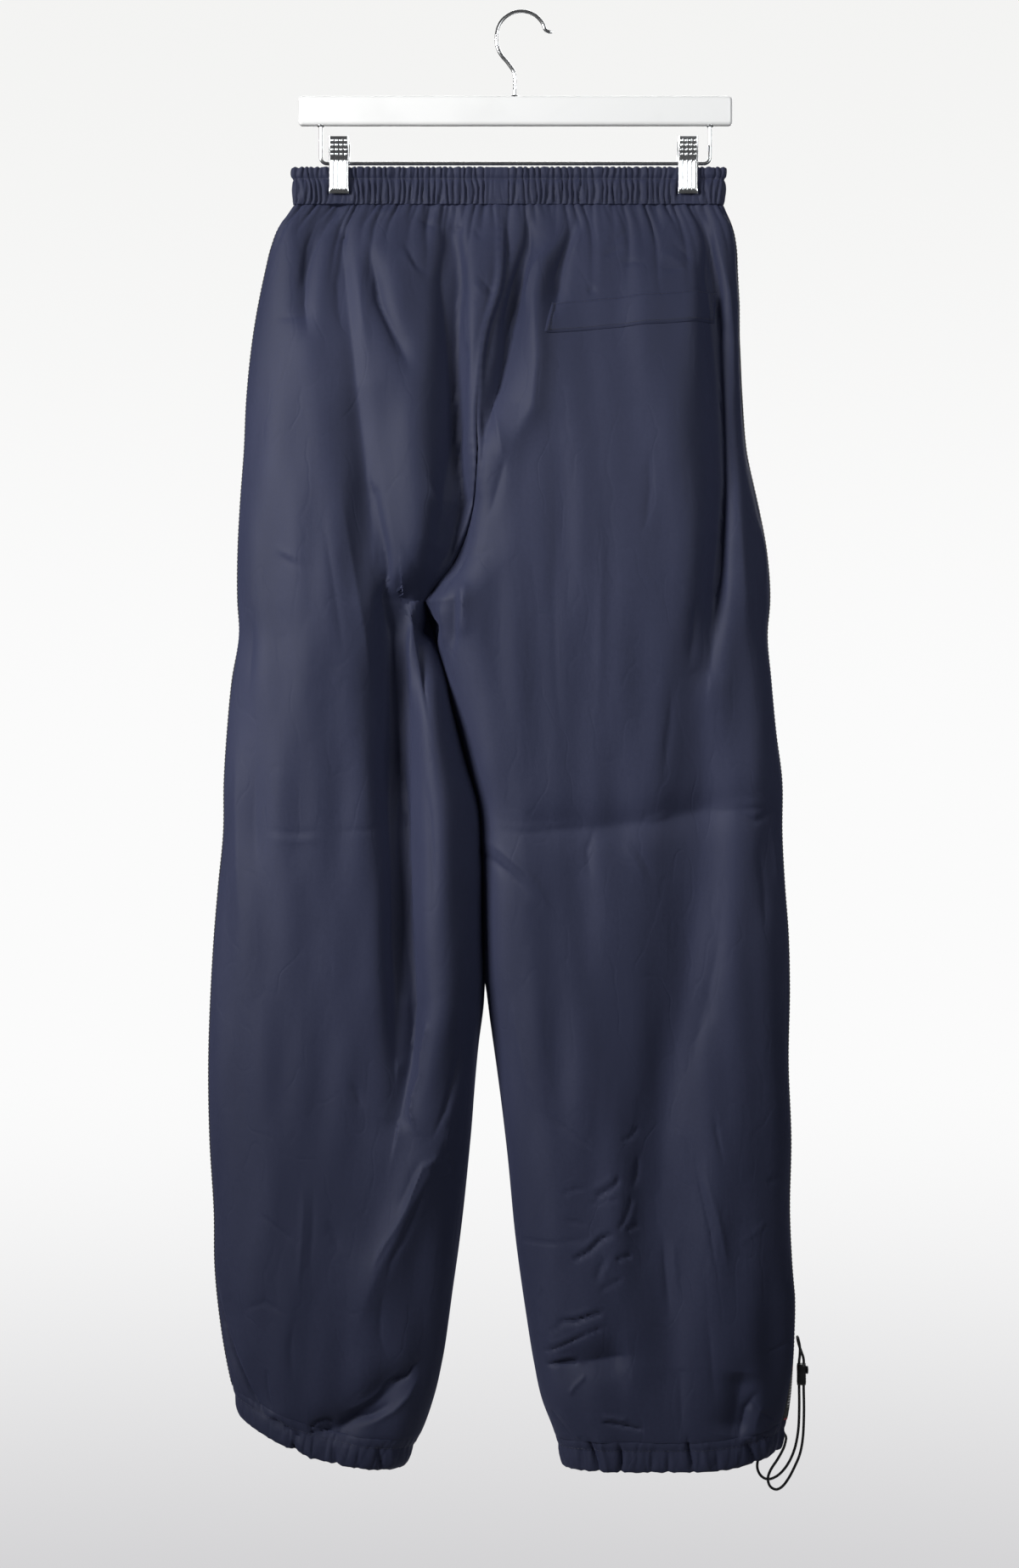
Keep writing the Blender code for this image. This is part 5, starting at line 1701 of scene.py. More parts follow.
@dataclass(frozen=True)
class SeamGathers:
    """The small pleats that run down from the waistband's seam and die away."""

    spacing: float = 5.4
    depth: Pair = (1.0, 3.4)
    length: Pair = (14.0, 44.0)
    long_length: Pair = (46.0, 96.0)
    long_share: float = 0.3
    spread: Pair = (1.5, 2.9)

    def relief(self, seed: int, share: Array, lengths: Array, below: Array) -> Array:
        """How far points of a panel stand out for the pleats.

        Args:
            seed: The panel's seed.
            share: Places along the rows, 0 to 1.
            lengths: The rows' lengths.
            below: The points' distance below the seam.

        Returns:
            Each point's rise.
        """
        dice = np.random.default_rng(seed)
        relief = np.zeros_like(share)
        place = self.spacing / 2
        while place < lengths[0] - 3:
            run = dice.uniform(*(self.long_length if dice.random() < self.long_share else self.length))
            deep, wide = dice.uniform(*self.depth), dice.uniform(*self.spread)
            lean = dice.uniform(-0.16, 0.16)
            off = share * lengths[:, None] - place / lengths[0] * lengths[:, None] - lean * below
            part = np.clip(1 - below / run, 0, 1)
            wider = wide * (1 + 0.9 * (1 - part))
            relief -= deep * part ** 1.3 * np.exp(-np.abs(off / wider) ** 1.5)
            place += self.spacing * dice.uniform(0.6, 1.5)
        return relief


@dataclass(frozen=True)
class Rippling:
    """The slow, shallow unevenness of cloth that hangs."""

    waves: int = 14
    across: Pair = (26.0, 80.0)
    along: Pair = (140.0, 520.0)
    height: float = 0.30

    def relief(self, seed: int, x: Array, z: Array) -> Array:
        """How far points of a face stand out for the ripples.

        Args:
            seed: The start of the random draws.
            x: The points' places along X.
            z: The points' heights.

        Returns:
            Each point's rise in millimetres.
        """
        dice = np.random.default_rng(seed)
        relief = np.zeros_like(x)
        for _ in range(self.waves):
            across = math.tau / dice.uniform(*self.across)
            along = math.tau / dice.uniform(*self.along) * dice.choice((-1, 1))
            relief += self.height * dice.uniform(0.5, 1.0) * np.sin(
                x * across + z * along + dice.uniform(0, math.tau))
        return relief


@dataclass
class Panel:
    """One of the four panels, from the waistband's seam down to the hem's."""

    form: GarmentForm
    face: Face
    side: Side
    stretches: tuple[tuple[float, int], ...]
    columns: int
    cut: Pair
    cut_area: float
    wall: float = 1.0
    seam_roll: float = 0.8
    pucker: float = 0.30
    lining_step: int = 3
    gathers: SeamGathers = field(default_factory=SeamGathers)
    rippling: Rippling = field(default_factory=Rippling)

    def heights(self) -> Array:
        """The rows' heights, from the table of stretches as (lowest height, rows).

        Returns:
            The heights, in order.
        """
        parts = [np.array([self.form.waist_seam - self.form.seam_gap / 2])]
        for bottom, rows in self.stretches:
            parts.append(np.linspace(parts[-1][-1], bottom, rows + 1)[1:])
        return np.concatenate(parts)

    def surface(self, places: Places, heights: Array | None = None) -> tuple[Array, Array]:
        """The panel's outer surface with its creases.

        Args:
            places: Gives the distances from the side seam, for the rows' lengths.
            heights: The rows' heights, or None for the panel's own.

        Returns:
            The grid of points and the grid of outward directions.
        """
        heights = self.heights() if heights is None else heights
        seed = 11 + 2 * (self.face is Face.FRONT) + (self.side is Side.RIGHT)
        grid, direction = self.form.grid(self.face, self.side, heights, places)
        lengths = self.lengths(heights)
        distance = places(lengths)
        x, z = grid[..., 0], grid[..., 2]
        edge = np.minimum(distance, lengths[:, None] - distance)
        below = self.form.waist_seam - z
        above_hem = heights[:, None] - self.form.hem_seam
        relief = sum(crease.relief(x, z) for crease in CREASES[self.face])
        relief = relief + self.rippling.relief(seed, x, z) * ease(below, 0, 60)
        relief = relief * ease(edge, 0.0, 7.0)
        relief = relief + self.gathers.relief(seed, distance / lengths[:, None], lengths, below)
        facing = ease(np.abs(direction[..., 1]), 0.25, 0.8)
        relief -= self.seam_roll * facing * np.exp(-(edge / 1.8) ** 2)
        relief += self.pucker * facing * np.exp(-edge / 7.0) * np.sin(z / 1.35 + 2.0 * np.sin(z / 17.0))
        relief -= 1.1 * np.exp(-np.maximum(below, 0) / 2.2)
        relief -= 0.35 * np.exp(-np.maximum(above_hem, 0) / 1.2)
        return grid + direction * relief[..., None], direction

    def lengths(self, heights: Array) -> Array:
        """The rows' lengths from seam to seam."""
        rows = self.form.rows(self.face, self.side, heights)
        return np.linalg.norm(np.diff(rows, axis=1), axis=2).sum(axis=1)

    def build(self) -> None:
        """Make the panel."""
        name, places = f"{self.face.word}_{self.side.word}", spread_evenly(self.columns)
        outer, direction = self.surface(places)
        across = places(self.lengths(self.heights())) * MM
        along = np.repeat((self.form.waist_seam - self.heights())[:, None] * MM, self.columns, axis=1)
        mesh = shell(name, outer, outer - direction * self.wall, direction,
                     np.stack((across, along), axis=-1), lining_step=self.lining_step)
        made = new_piece(f"{name}_cloth", mesh, CLOTH, (name,))


@dataclass
class ClothRing:
    """A closed ring of gathered and stitched cloth on the garment's form."""

    form: GarmentForm

    def grids(self, quarters: Sequence[tuple[Face, Side, bool]], columns: int,
              heights: Array) -> tuple[Array, Array]:
        """The ring's points and level outward directions.

        Args:
            quarters: Each stretch's face and side, and whether it starts at the side seam.
            columns: Columns of a stretch.
            heights: The rows' heights.

        Returns:
            The grid of points and the grid of directions.
        """
        grids, directions = [], []
        for face, side, from_side in quarters:
            way = slice(None) if from_side else slice(None, None, -1)
            grid, direction = self.form.grid(face, side, heights, spread_evenly(columns + 1))
            grids.append(grid[:, way][:, :-1])
            directions.append(direction[:, way][:, :-1])
        level = np.concatenate(directions, axis=1)
        level[..., 2] = 0.0
        return np.concatenate(grids, axis=1), level / np.linalg.norm(level, axis=2, keepdims=True)

    def gather(self, name: str, tool: ElasticGathers, base: Array, outer: Array, inner: Array, away: Array,
               girth: float, swell: Array, lift: Array, **settings: float) -> tuple[Object, Array]:
        """Make the ring's wall and gather it.

        Args:
            name: The ring's node.
            tool: The tree that gathers it.
            base: Grid of points on the form, whose heights its map runs down.
            outer: Grid of outer points.
            inner: Grid of inner points.
            away: Grid of outward directions.
            girth: The map's length round the ring, in metres.
            swell: How far its ridges stand out, in millimetres.
            lift: How far they rise.
            **settings: The tree's inputs.

        Returns:
            The ring's object and the grid of its outer points.
        """
        rows, columns = base.shape[:2]
        around = np.tile(np.arange(columns) / columns, (rows, 1))
        uv = np.stack((around * girth, -base[..., 2] * MM), axis=-1)
        mesh = shell(name, outer, inner, away, uv, closed=True)
        give(mesh, "around", np.concatenate((around.ravel(),) * 2))
        for label, ridge in (("swell", swell), ("lift", lift)):
            give(mesh, label, np.concatenate((ridge.ravel() * MM, np.zeros(rows * columns))))
        give(mesh, "away", np.concatenate((away.reshape(-1, 3),) * 2))
        gathered = tool.apply(mesh, CLOTH, **settings)
        flat = np.zeros(len(gathered.vertices) * 3)
        gathered.vertices.foreach_get("co", flat)
        points = (flat.reshape(-1, 3) / MM)[:rows * columns].reshape(rows, columns, 3)
        return new_piece(f"{name}_cloth", gathered, CLOTH, (name,)), points

    def line(self, points: Array, away: Array, row: int, proud: float) -> tuple[Array, Array]:
        """A line for stitches round the ring, along one of its rows, and its directions."""
        way = np.concatenate((away[row], away[row][:1]))
        return np.concatenate((points[row], points[row][:1])) + way * proud, way


CLIP_PLACES = {Side.LEFT: -146.8, Side.RIGHT: 134.1}
# Height, how far the cloth stands out, and its ridges' swell and lift.
BAND_PROFILE = table("""
-126.6 -1.6 .15 .3
-125.7 -1.15 .3 .45
-125.3 -.55 .5 .5
-125.7 0 .7 .45
-126.8 .25 .85 .25
-128.6 .35 .9 0
-130.6 .25 .85 0
-132.4 -.05 .7 0
-133.6 -.75 .5 0
-134.5 -1.05 .4 0
-135.4 -.75 .5 0
-136.8 -.1 .75 0
-139.2 .4 .95 0
-142.5 .65 1.05 0
-146 .55 1.05 0
-149.5 .2 1 0
-152 -.2 .9 0
-153.7 -.65 .75 0
-154.8 -1.1 .6 0
""")
# Height, how far the cloth stands out, and its ridges' swell.
HEM_PROFILE = table("""
-1146.5 -.45 .1
-1147.6 -.1 .14
-1149.2 .12 .18
-1151.6 .05 .2
-1153.2 -.3 .18
-1154.8 .05 .24
-1158 .45 .32
-1162 .6 .36
-1165.6 .5 .36
-1168.4 .2 .34
-1170.2 -.15 .28
-1171 -.6 .2
-1170.4 -1.1 .1
""")


@dataclass
class Waistband(ClothRing):
    """The elastic waistband, with its ruffled top edge and its stitched line."""

    gathers: int = 140
    points_each: int = 12
    inside: float = 2.2
    inner_top: float = -127.4
    tuck_depth: float = 3.4
    tuck_drop: float = 1.6
    tuck_reach: Pair = (151.0, 154.8)
    plain_centre: float = -19.5
    plain_half_width: float = 8.5
    clip_half_width: float = 9.0
    stitched_rows: tuple[int, int] = (9, 16)
    cut: Pair = (0.90, 0.031)
    girth: float = 0.75

    def build(self, tool: ElasticGathers, stitches: StitchRun) -> None:
        """Make the band, its gathers and its stitches.

        Args:
            tool: The tree that gathers it.
            stitches: The tree that sews it.
        """
        heights, proud, swell, lift = np.array(BAND_PROFILE).T
        quarters = ((Face.BACK, Side.LEFT, True), (Face.BACK, Side.RIGHT, False),
                    (Face.FRONT, Side.RIGHT, True), (Face.FRONT, Side.LEFT, False))
        levels = np.linspace(heights[0], heights[-1], len(heights))
        base, away = self.grids(quarters, self.gathers * self.points_each // 4, levels)
        base[..., 2] = heights[:, None]
        x, y = base[..., 0], base[..., 1]
        pressed = sum(ease(-np.abs(x - place), -self.clip_half_width - 3, -self.clip_half_width + 1)
                      for place in CLIP_PLACES.values())
        plain = ease(-np.abs(x - self.plain_centre), -self.plain_half_width - 1.5,
                     -self.plain_half_width + 1.0) * (y < 0) * 0.8
        offset = proud[:, None] * (1 - pressed) - 0.35 * pressed
        tucked = ease(-heights, *self.tuck_reach)
        inner = base - away * (self.inside + self.tuck_depth * tucked)[:, None, None]
        inner[..., 2] = (np.linspace(self.inner_top, heights[-1], len(heights))
                         - self.tuck_drop * tucked)[:, None]
        made, points = self.gather(
            "waistband", tool, base, base + away * offset[..., None], inner, away, self.girth,
            swell[:, None] * (1 - plain) * (1 - 0.75 * pressed), lift[:, None] * (1 - plain),
            Count=self.gathers, Wobble=2.4, Unevenness=2.2, Seed=3.0)
        lines = [self.line(points, away, row, 0.10) for row in self.stitched_rows]
        sewn = stitches.sew("waistband_stitches", lines, 2.6, 1.9, 0.36)


@dataclass
class HemCasing(ClothRing):
    """A leg's hem casing, drawn in by the cord inside it."""

    side: Side
    columns: int = 230
    inside: float = 1.8
    ripple_count: int = 40
    crease_scale: float = 1.7
    edge_share: float = 0.8
    edge_reach: Pair = (1160.0, 1170.0)
    stitched_row: int = 4
    cut: Pair = (0.54, 0.022)

    def build(self, tool: ElasticGathers, stitches: StitchRun) -> None:
        """Make the casing, its gathers and its stitches.

        Args:
            tool: The tree that gathers it.
            stitches: The tree that sews it.
        """
        heights, proud, swell = np.array(HEM_PROFILE).T
        levels = np.linspace(heights[0], self.form.hem_bottom, len(heights))
        base, away = self.grids(((Face.BACK, self.side, True), (Face.FRONT, self.side, False)),
                                self.columns, levels)
        base[..., 2] += (heights - levels)[:, None]
        relief = np.zeros(base.shape[:2])
        for face in Face:
            shown = base[..., 1] * face.value > 0
            marks = sum(crease.relief(base[..., 0], base[..., 2]) for crease in CREASES[face])
            relief[shown] += self.crease_scale * marks[shown]
        outer = base + away * (proud[:, None] + relief)[..., None]
        near_edge = ease(-heights, *self.edge_reach)[:, None]
        outer[..., 2] -= self.edge_share * relief * near_edge
        inner = base + away * (np.minimum(relief, 0.0) - self.inside)[..., None]
        inner[..., 2] += 1.2 * near_edge
        inner[-1] += (inner[-2] - inner[-1]) * 0.5
        name, flat = f"hem_{self.side.word}", np.zeros_like(relief)
        made, points = self.gather(
            name, tool, base, outer, inner, away, self.cut[0], flat + swell[:, None],
            flat + near_edge * 0.35, Count=self.ripple_count, Wobble=3.0, Unevenness=2.8,
            Seed=7.0 + self.side.value)
        sewn = stitches.sew(f"{name}_stitches", [self.line(points, away, self.stitched_row, 0.15)],
                            2.8, 2.0, 0.38)


@dataclass
class PocketWelt:
    """The back pocket's welt, on the back right panel."""

    panel: Panel
    span: Pair = (24.0, 159.0)
    rows: int = 22
    samples: int = 320
    proud: float = 1.5
    wall: float = 0.9

    def build(self, stitches: StitchRun) -> None:
        """Make the welt, and its stitches with the tree that sews them.

        Args:
            stitches: The tree that sews them.
        """
        form = self.panel.form
        heights = np.linspace(form.pocket_top, form.pocket_top - form.pocket_height, self.rows)
        grid, direction = self.panel.surface(spread_evenly(self.samples), heights)
        chosen = np.where((grid[0, :, 0] > self.span[0]) & (grid[0, :, 0] < self.span[1]))[0]
        strip, away = grid[:, chosen], direction[:, chosen]
        row, column = (np.minimum(np.arange(count), np.arange(count)[::-1]) for count in strip.shape[:2])
        nearest = np.minimum((row / 2.0)[:, None], (column / 2.5)[None, :])
        outer = strip + away * (self.proud * np.sqrt(np.clip(nearest + 0.12, 0, 1)))[..., None]
        across = np.tile(np.arange(len(chosen)) * 0.0006, (self.rows, 1))
        mesh = shell("back_pocket_welt", outer, outer - away * self.wall, away,
                     np.stack((across, -strip[..., 2] * MM), axis=-1))
        new_piece("back_pocket_welt_cloth", mesh, CLOTH, ("back_pocket_welt",))
        raised = outer + away * 0.12
        runs = [(raised[1], away[1]), (raised[-3], away[-3])]
        runs += [(raised[2:-2, end], away[2:-2, end]) for end in (3, 6, -4, -7)]
        # These stitches use the darker thread, as painted shade along the welt's seam lines.
        stitches.sew("back_pocket_stitches", runs, 2.7, 2.0, 0.40, POCKET_THREAD_PAINTED_SHADE)


@dataclass
class SideTape:
    """The woven tape down a side seam, on the front panel."""

    panel: Panel
    start: float = 0.3
    width: float = 12.0
    columns: int = 9
    thickness: float = 0.8
    lift: float = 0.25
    pattern_start: float = 1.7

    def build(self, stitches: StitchRun) -> None:
        """Make the tape, and the stitches along its edges with the tree that sews them.

        Args:
            stitches: The tree that sews them.
        """
        name = f"tape_{self.panel.side.word}"
        grid, away = self.panel.surface(spread_between(self.start, self.width, self.columns))
        round_edge = np.sqrt(np.clip(1 - np.abs(np.linspace(-1, 1, self.columns)) ** 6, 0.15, 1))
        outer = grid + away * (self.lift + self.thickness * round_edge)[None, :, None]
        drop = self.panel.form.waist_seam - self.panel.heights() - self.pattern_start
        places = np.linspace(self.start, self.width, self.columns) - self.width / 2
        across = np.tile(places * MM, (len(drop), 1))
        along = np.repeat(drop[:, None] * MM, self.columns, axis=1)
        mesh = shell(name, outer, grid + away * (self.lift * 0.2), away, np.stack((across, along), axis=-1))
        new_piece(f"{name}_woven", mesh, TAPE, (name,))
        runs = [(outer[:, column] + away[:, column] * 0.1, away[:, column]) for column in (1, 7)]
        stitches.sew(f"{name}_stitches", runs, 3.2, 2.2, 0.36, BLACK_THREAD, Slot.TRIM)


@dataclass
class PocketEdge:
    """The bound edge of a side pocket, which stands away from the front panel."""

    panel: Panel
    span: Pair = (14.4, 20.0)
    top: float = -190.0
    bottom: float = -335.0
    rows: int = 80
    columns: int = 13
    bulge: float = 6.0

    def build(self) -> None:
        """Make the bound edge."""
        name = f"pocket_edge_{self.panel.side.word}"
        heights = np.linspace(self.top, self.bottom, self.rows)
        grid, direction = self.panel.surface(spread_between(*self.span, self.columns), heights)
        share = np.linspace(0, 1, self.rows)
        rounded = np.sqrt(np.clip(1 - np.linspace(-1, 1, self.columns) ** 2, 0.02, 1))
        taper = ease(np.minimum(share, 1 - share), -0.01, 0.05)
        outwards = np.array([self.panel.side.value, 0.0, 0.0])
        swell = (self.bulge * np.sin(math.pi * share) ** 2)[:, None] * rounded[None, :]
        proud = 0.35 + 1.0 * taper[:, None] * rounded[None, :]
        outer = grid + direction * proud[..., None] + outwards * swell[..., None]
        mesh = shell(name, outer, grid + direction * 0.2, direction)
        new_piece(f"{name}_bound", mesh, BINDING, (name,))


# --- Drawcords, eyelets and cord locks ---


def smooth_route(corners: Sequence[Sequence[float]], step: float) -> Array:
    """Points about one step apart on a smooth curve through a route's own points.

    Args:
        corners: The route's own points.
        step: The distance between the new points.

    Returns:
        The new points.
    """
    way = [np.array(corner, float) for corner in corners]
    ends = [way[0] * 2 - way[1], *way, way[-1] * 2 - way[-2]]
    line = np.array([0.5 * (2 * start + (end - before) * part
                            + (2 * before - 5 * start + 4 * end - after) * part ** 2
                            + (3 * start - before - 3 * end + after) * part ** 3)
                     for before, start, end, after in zip(ends, ends[1:], ends[2:], ends[3:])
                     for part in np.linspace(0, 1, 16, endpoint=False)] + [way[-1]])
    travelled = np.concatenate(([0.0], np.cumsum(np.linalg.norm(np.diff(line, axis=0), axis=1))))
    places = np.linspace(0, travelled[-1], max(2, round(travelled[-1] / step) + 1))
    return np.stack([np.interp(places, travelled, line[:, axis]) for axis in range(3)], axis=1)


@dataclass
class CordLock:
    """A cord lock: a ribbed body that the cord runs through twice, and its push knob."""

    side: Side
    centre: Point
    half_width: float = 3.7
    half_depth: float = 4.0
    height: float = 17.0
    bore_spacing: float = 3.7
    squareness: float = 3.2
    end_round: float = 2.4
    groove_depth: float = 0.22
    groove_pitch: float = 2.1
    columns: int = 40
    knob_radius: float = 3.3
    knob_reach: float = 2.4
    knob_rise: float = 3.5

    def body(self) -> Mesh:
        """The body: rounded ends and shallow grip grooves round its middle.

        Returns:
            The closed mesh.
        """
        end, (x, y, z) = self.end_round, self.centre
        levels = np.concatenate((np.linspace(0, end, 7)[:-1], np.linspace(end, self.height - end, 27),
                                 np.linspace(self.height - end, self.height, 7)[1:]))
        rings, foot, power = [], z - self.height / 2, self.squareness
        for level in levels:
            into_end = max(0.0, end - min(level, self.height - level)) / end
            narrow = 1 - 0.34 * (1 - math.sqrt(max(0.0, 1 - into_end ** 2)))
            groove = self.groove_depth * math.exp(-((level - self.height * 0.42) / 4.6) ** 4) * (
                0.5 + 0.5 * math.cos(level * math.tau / self.groove_pitch))
            for angle in np.linspace(0, math.tau, self.columns + 1)[:-1]:
                along_x, along_y = math.cos(angle), math.sin(angle)
                reach = (abs(along_x) ** power + abs(along_y) ** power) ** (-1 / power)
                rings.append((x + along_x * reach * (self.half_width * narrow - groove),
                              y + along_y * reach * (self.half_depth * narrow - groove), foot + level))
        ends = [(x, y, foot), (x, y, foot + self.height)]
        return turn_outwards(new_mesh("lock_body", rings + ends, capped_quads(len(levels), self.columns)))

    def build(self) -> Object:
        """Make the lock: body, knob and the rims round its four bores.

        Returns:
            The lock's object.
        """
        x, y, z = self.centre
        outward, radius, reach = self.side.value, self.knob_radius, self.knob_reach
        parts = [self.body(), turned_form("knob", (
            (0, -0.8), (radius * 0.62, -0.8), (radius * 0.62, 0.5), (radius * 0.9, 0.7),
            (radius, 1.0), (radius, reach - 0.6), (radius * 0.86, reach - 0.15),
            (radius * 0.5, reach), (radius * 0.42, reach - 0.25), (0, reach - 0.35)),
            (x + outward * (self.half_width - 0.6), y, z + self.knob_rise), (outward, 0, 0))]
        rim = ((1.2, -0.7), (1.75, -0.7), (1.75, 0.1), (1.5, 0.28), (1.2, 0.1), (1.2, -0.7))
        for shift in (-self.bore_spacing / 2, self.bore_spacing / 2):
            for end in (-1, 1):
                rim_at = (x + shift, y, z + end * self.height / 2)
                parts.append(turned_form("rim", rim, rim_at, (0, 0, end), 16))
        name = f"lock_{self.side.word}"
        return new_piece(f"{name}_moulded", joined(name, parts), LOCK_PLASTIC, (name,))


@dataclass
class Drawcord:
    """A hem's free loop of cord, with its two eyelets and its lock."""

    form: GarmentForm
    side: Side
    lock: CordLock
    places: Pair
    bend_turn: float
    length: float
    diameter: float = 2.2
    step: float = 1.6
    surface: float = 1.5
    seam_gap: float = 0.3
    ring_radius: float = 3.0
    ring_wire: float = 0.9
    bend: float = 5.2

    def seats(self) -> list[tuple[Array, Array]]:
        """The points of the casing where the eyelets sit, and the outward directions.

        Returns:
            A point and a direction for each eyelet.
        """
        middle = np.array([(self.form.hem_seam + self.form.hem_bottom) / 2])
        found = []
        for place in self.places:
            near, _ = self.form.grid(Face.FRONT, self.side, middle, spread_between(place - 4, place + 4, 3))
            tangent = near[0, 2] - near[0, 0]
            away = np.array((tangent[1], -tangent[0], 0.0))
            away *= np.sign(away[1])
            found.append((near[0, 1], away / np.linalg.norm(away)))
        return found

    def route(self) -> list[Array]:
        """The cord's own points, from one eyelet to the other.

        Returns:
            The points, in order.
        """
        starts = []
        for seat, away in self.seats():
            start = seat + away * (self.surface + 2 * self.seam_gap)
            starts.append([start] + [
                start + away * (self.ring_wire * 2 + self.bend * math.sin(turn))
                + np.array((0, 0, self.bend_turn * self.bend * (1 - math.cos(turn))))
                for turn in (0.0, math.pi / 6, math.pi / 3, math.pi / 2)])
        return [*starts[0], *map(np.array, CORD_ROUTES[self.side]), *reversed(starts[1])]

    def build(self) -> None:
        name, path = f"cord_{self.side.word}", smooth_route(self.route(), self.step)
        made = new_piece(f"{name}_braided", tube(name, path, self.diameter / 2, 14), CORD,
                         (name,))
        lock = self.lock.build()
        for letter, (seat, away) in zip("ab", self.seats()):
            self.eyelet(letter, seat, away)

    def eyelet(self, letter: str, seat: Array, away: Array) -> None:
        """Make a pressed eyelet: a rolled ring with a thin flange, flat on the casing.

        Args:
            letter: The end of its name.
            seat: Its place on the casing.
            away: The outward direction there.
        """
        reach, wire = self.surface + self.seam_gap, self.ring_wire
        inner, outer = self.ring_radius - wire, self.ring_radius + wire
        roll = [(self.ring_radius + wire * math.cos(turn), reach + wire + wire * math.sin(turn))
                for turn in np.linspace(-math.pi / 2, math.pi * 1.1, 12)]
        profile = [*roll, (inner, reach - 1.0), (inner + 0.25, reach - 1.0), (outer + 0.25, reach - 0.15),
                   (outer + 0.25, reach), roll[0]]
        mesh = turned_form("eyelet", profile, tuple(seat), tuple(away), 32)
        name = f"eyelet_{self.side.word}_{letter}"
        new_piece(f"{name}_pressed", mesh, EYELET_METAL, (name,))


# --- The hanger ---


@dataclass
class Hanger:
    """The white bar with its wire hook and rod."""

    centre: float = -4.8
    bar_length: float = 350.0
    bar_height: float = 24.0
    bar_depth: float = 8.0
    bar_top: float = -67.2
    edge_round: float = 3.2
    hook_radius: float = 20.0
    wire: float = 3.0
    shank_x: float = -5.5
    bore_depth: float = 12.0
    rod_half_span: float = 157.0
    rod_height: float = -121.4
    rod_bend: float = 5.0

    def bar(self) -> None:
        """Make the painted bar, softly rounded along its edges."""
        builder = bmesh.new()
        bmesh.ops.create_cube(builder, size=1.0)
        for vert in builder.verts:
            vert.co = Vector((self.centre + vert.co.x * self.bar_length, vert.co.y * self.bar_depth,
                              self.bar_top - self.bar_height / 2 + vert.co.z * self.bar_height)) * MM
        bmesh.ops.bevel(builder, geom=list(builder.edges), offset=self.edge_round * MM, segments=6,
                        profile=0.5, affect="EDGES")
        new_piece("hanger_bar_painted", mesh_from("bar", builder, 40.0), PAINTED_BAR,
                  ("hanger_bar",))

    def wire_piece(self, name: str, path: Array, radius: Array | float, collars: Sequence[Point]) -> None:
        """Make a wire and its collars, from each collar's (x, height, direction along Z).

        Args:
            name: The piece's name.
            path: The wire's points.
            radius: The wire's radius.
            collars: The rows of its collars.
        """
        profile = ((1.55, -1.0), (2.9, -1.0), (2.9, 0.35), (2.5, 0.75), (1.75, 0.85), (1.55, 0.6),
                   (1.55, -1.0))
        parts = [tube("wire", path, radius, 18)]
        parts += [turned_form("collar", profile, (x, 0.0, z), (0, 0, way), 24) for x, z, way in collars]
        new_piece(f"{name}_wire", joined(name, parts), CHROME, (name,))

    def hook(self) -> None:
        """Make the hook, from its shank in the bar to its tip."""
        x, middle = self.shank_x, -self.hook_radius + self.wire / 2
        neck = [(x, self.bar_top - self.bore_depth + 1.0), (x, self.bar_top), (x, -50), (x - 4.5, -41.5),
                (-16.5, -33.5), (-19.6, -26)]
        arc = [(self.hook_radius * math.cos(math.radians(angle)),
                middle + self.hook_radius * math.sin(math.radians(angle))) for angle in range(180, 11, -15)]
        tip = [(22.5, -15.2), (25.0, -15.6)]
        path = smooth_route([(px, 0.0, pz) for px, pz in neck + arc + tip], 1.2)
        radius = np.full(len(path), self.wire / 2)
        radius[-4:] = self.wire / 2 * np.array((1.0, 0.97, 0.85, 0.55))
        self.wire_piece("hanger_hook", path, radius, [(x, self.bar_top, 1.0)])

    def rod(self) -> None:
        """Make the rod that carries the clips, bent up into the bar at both ends."""
        left, right = self.centre - self.rod_half_span, self.centre + self.rod_half_span
        bottom = self.bar_top - self.bar_height
        bend = [(left + self.rod_bend * (1 - math.cos(turn)), self.rod_height
                 + self.rod_bend * (1 - math.sin(turn))) for turn in np.linspace(0, math.pi / 2, 9)]
        level = [(x, self.rod_height) for x in np.linspace(left + 12, right - 12, 30)]
        other = [(left + right - x, z) for x, z in reversed(bend)]
        ends = bottom + self.bore_depth - 1.5
        path = [(x, 0.0, z) for x, z in [(left, ends), (left, bottom), *bend, *level, *other,
                                         (right, bottom), (right, ends)]]
        self.wire_piece("hanger_rod", path, self.wire / 2, [(left, bottom, -1.0), (right, bottom, -1.0)])

    def build(self) -> None:
        """Make the bar, the hook and the rod."""
        self.bar()
        self.hook()
        self.rod()


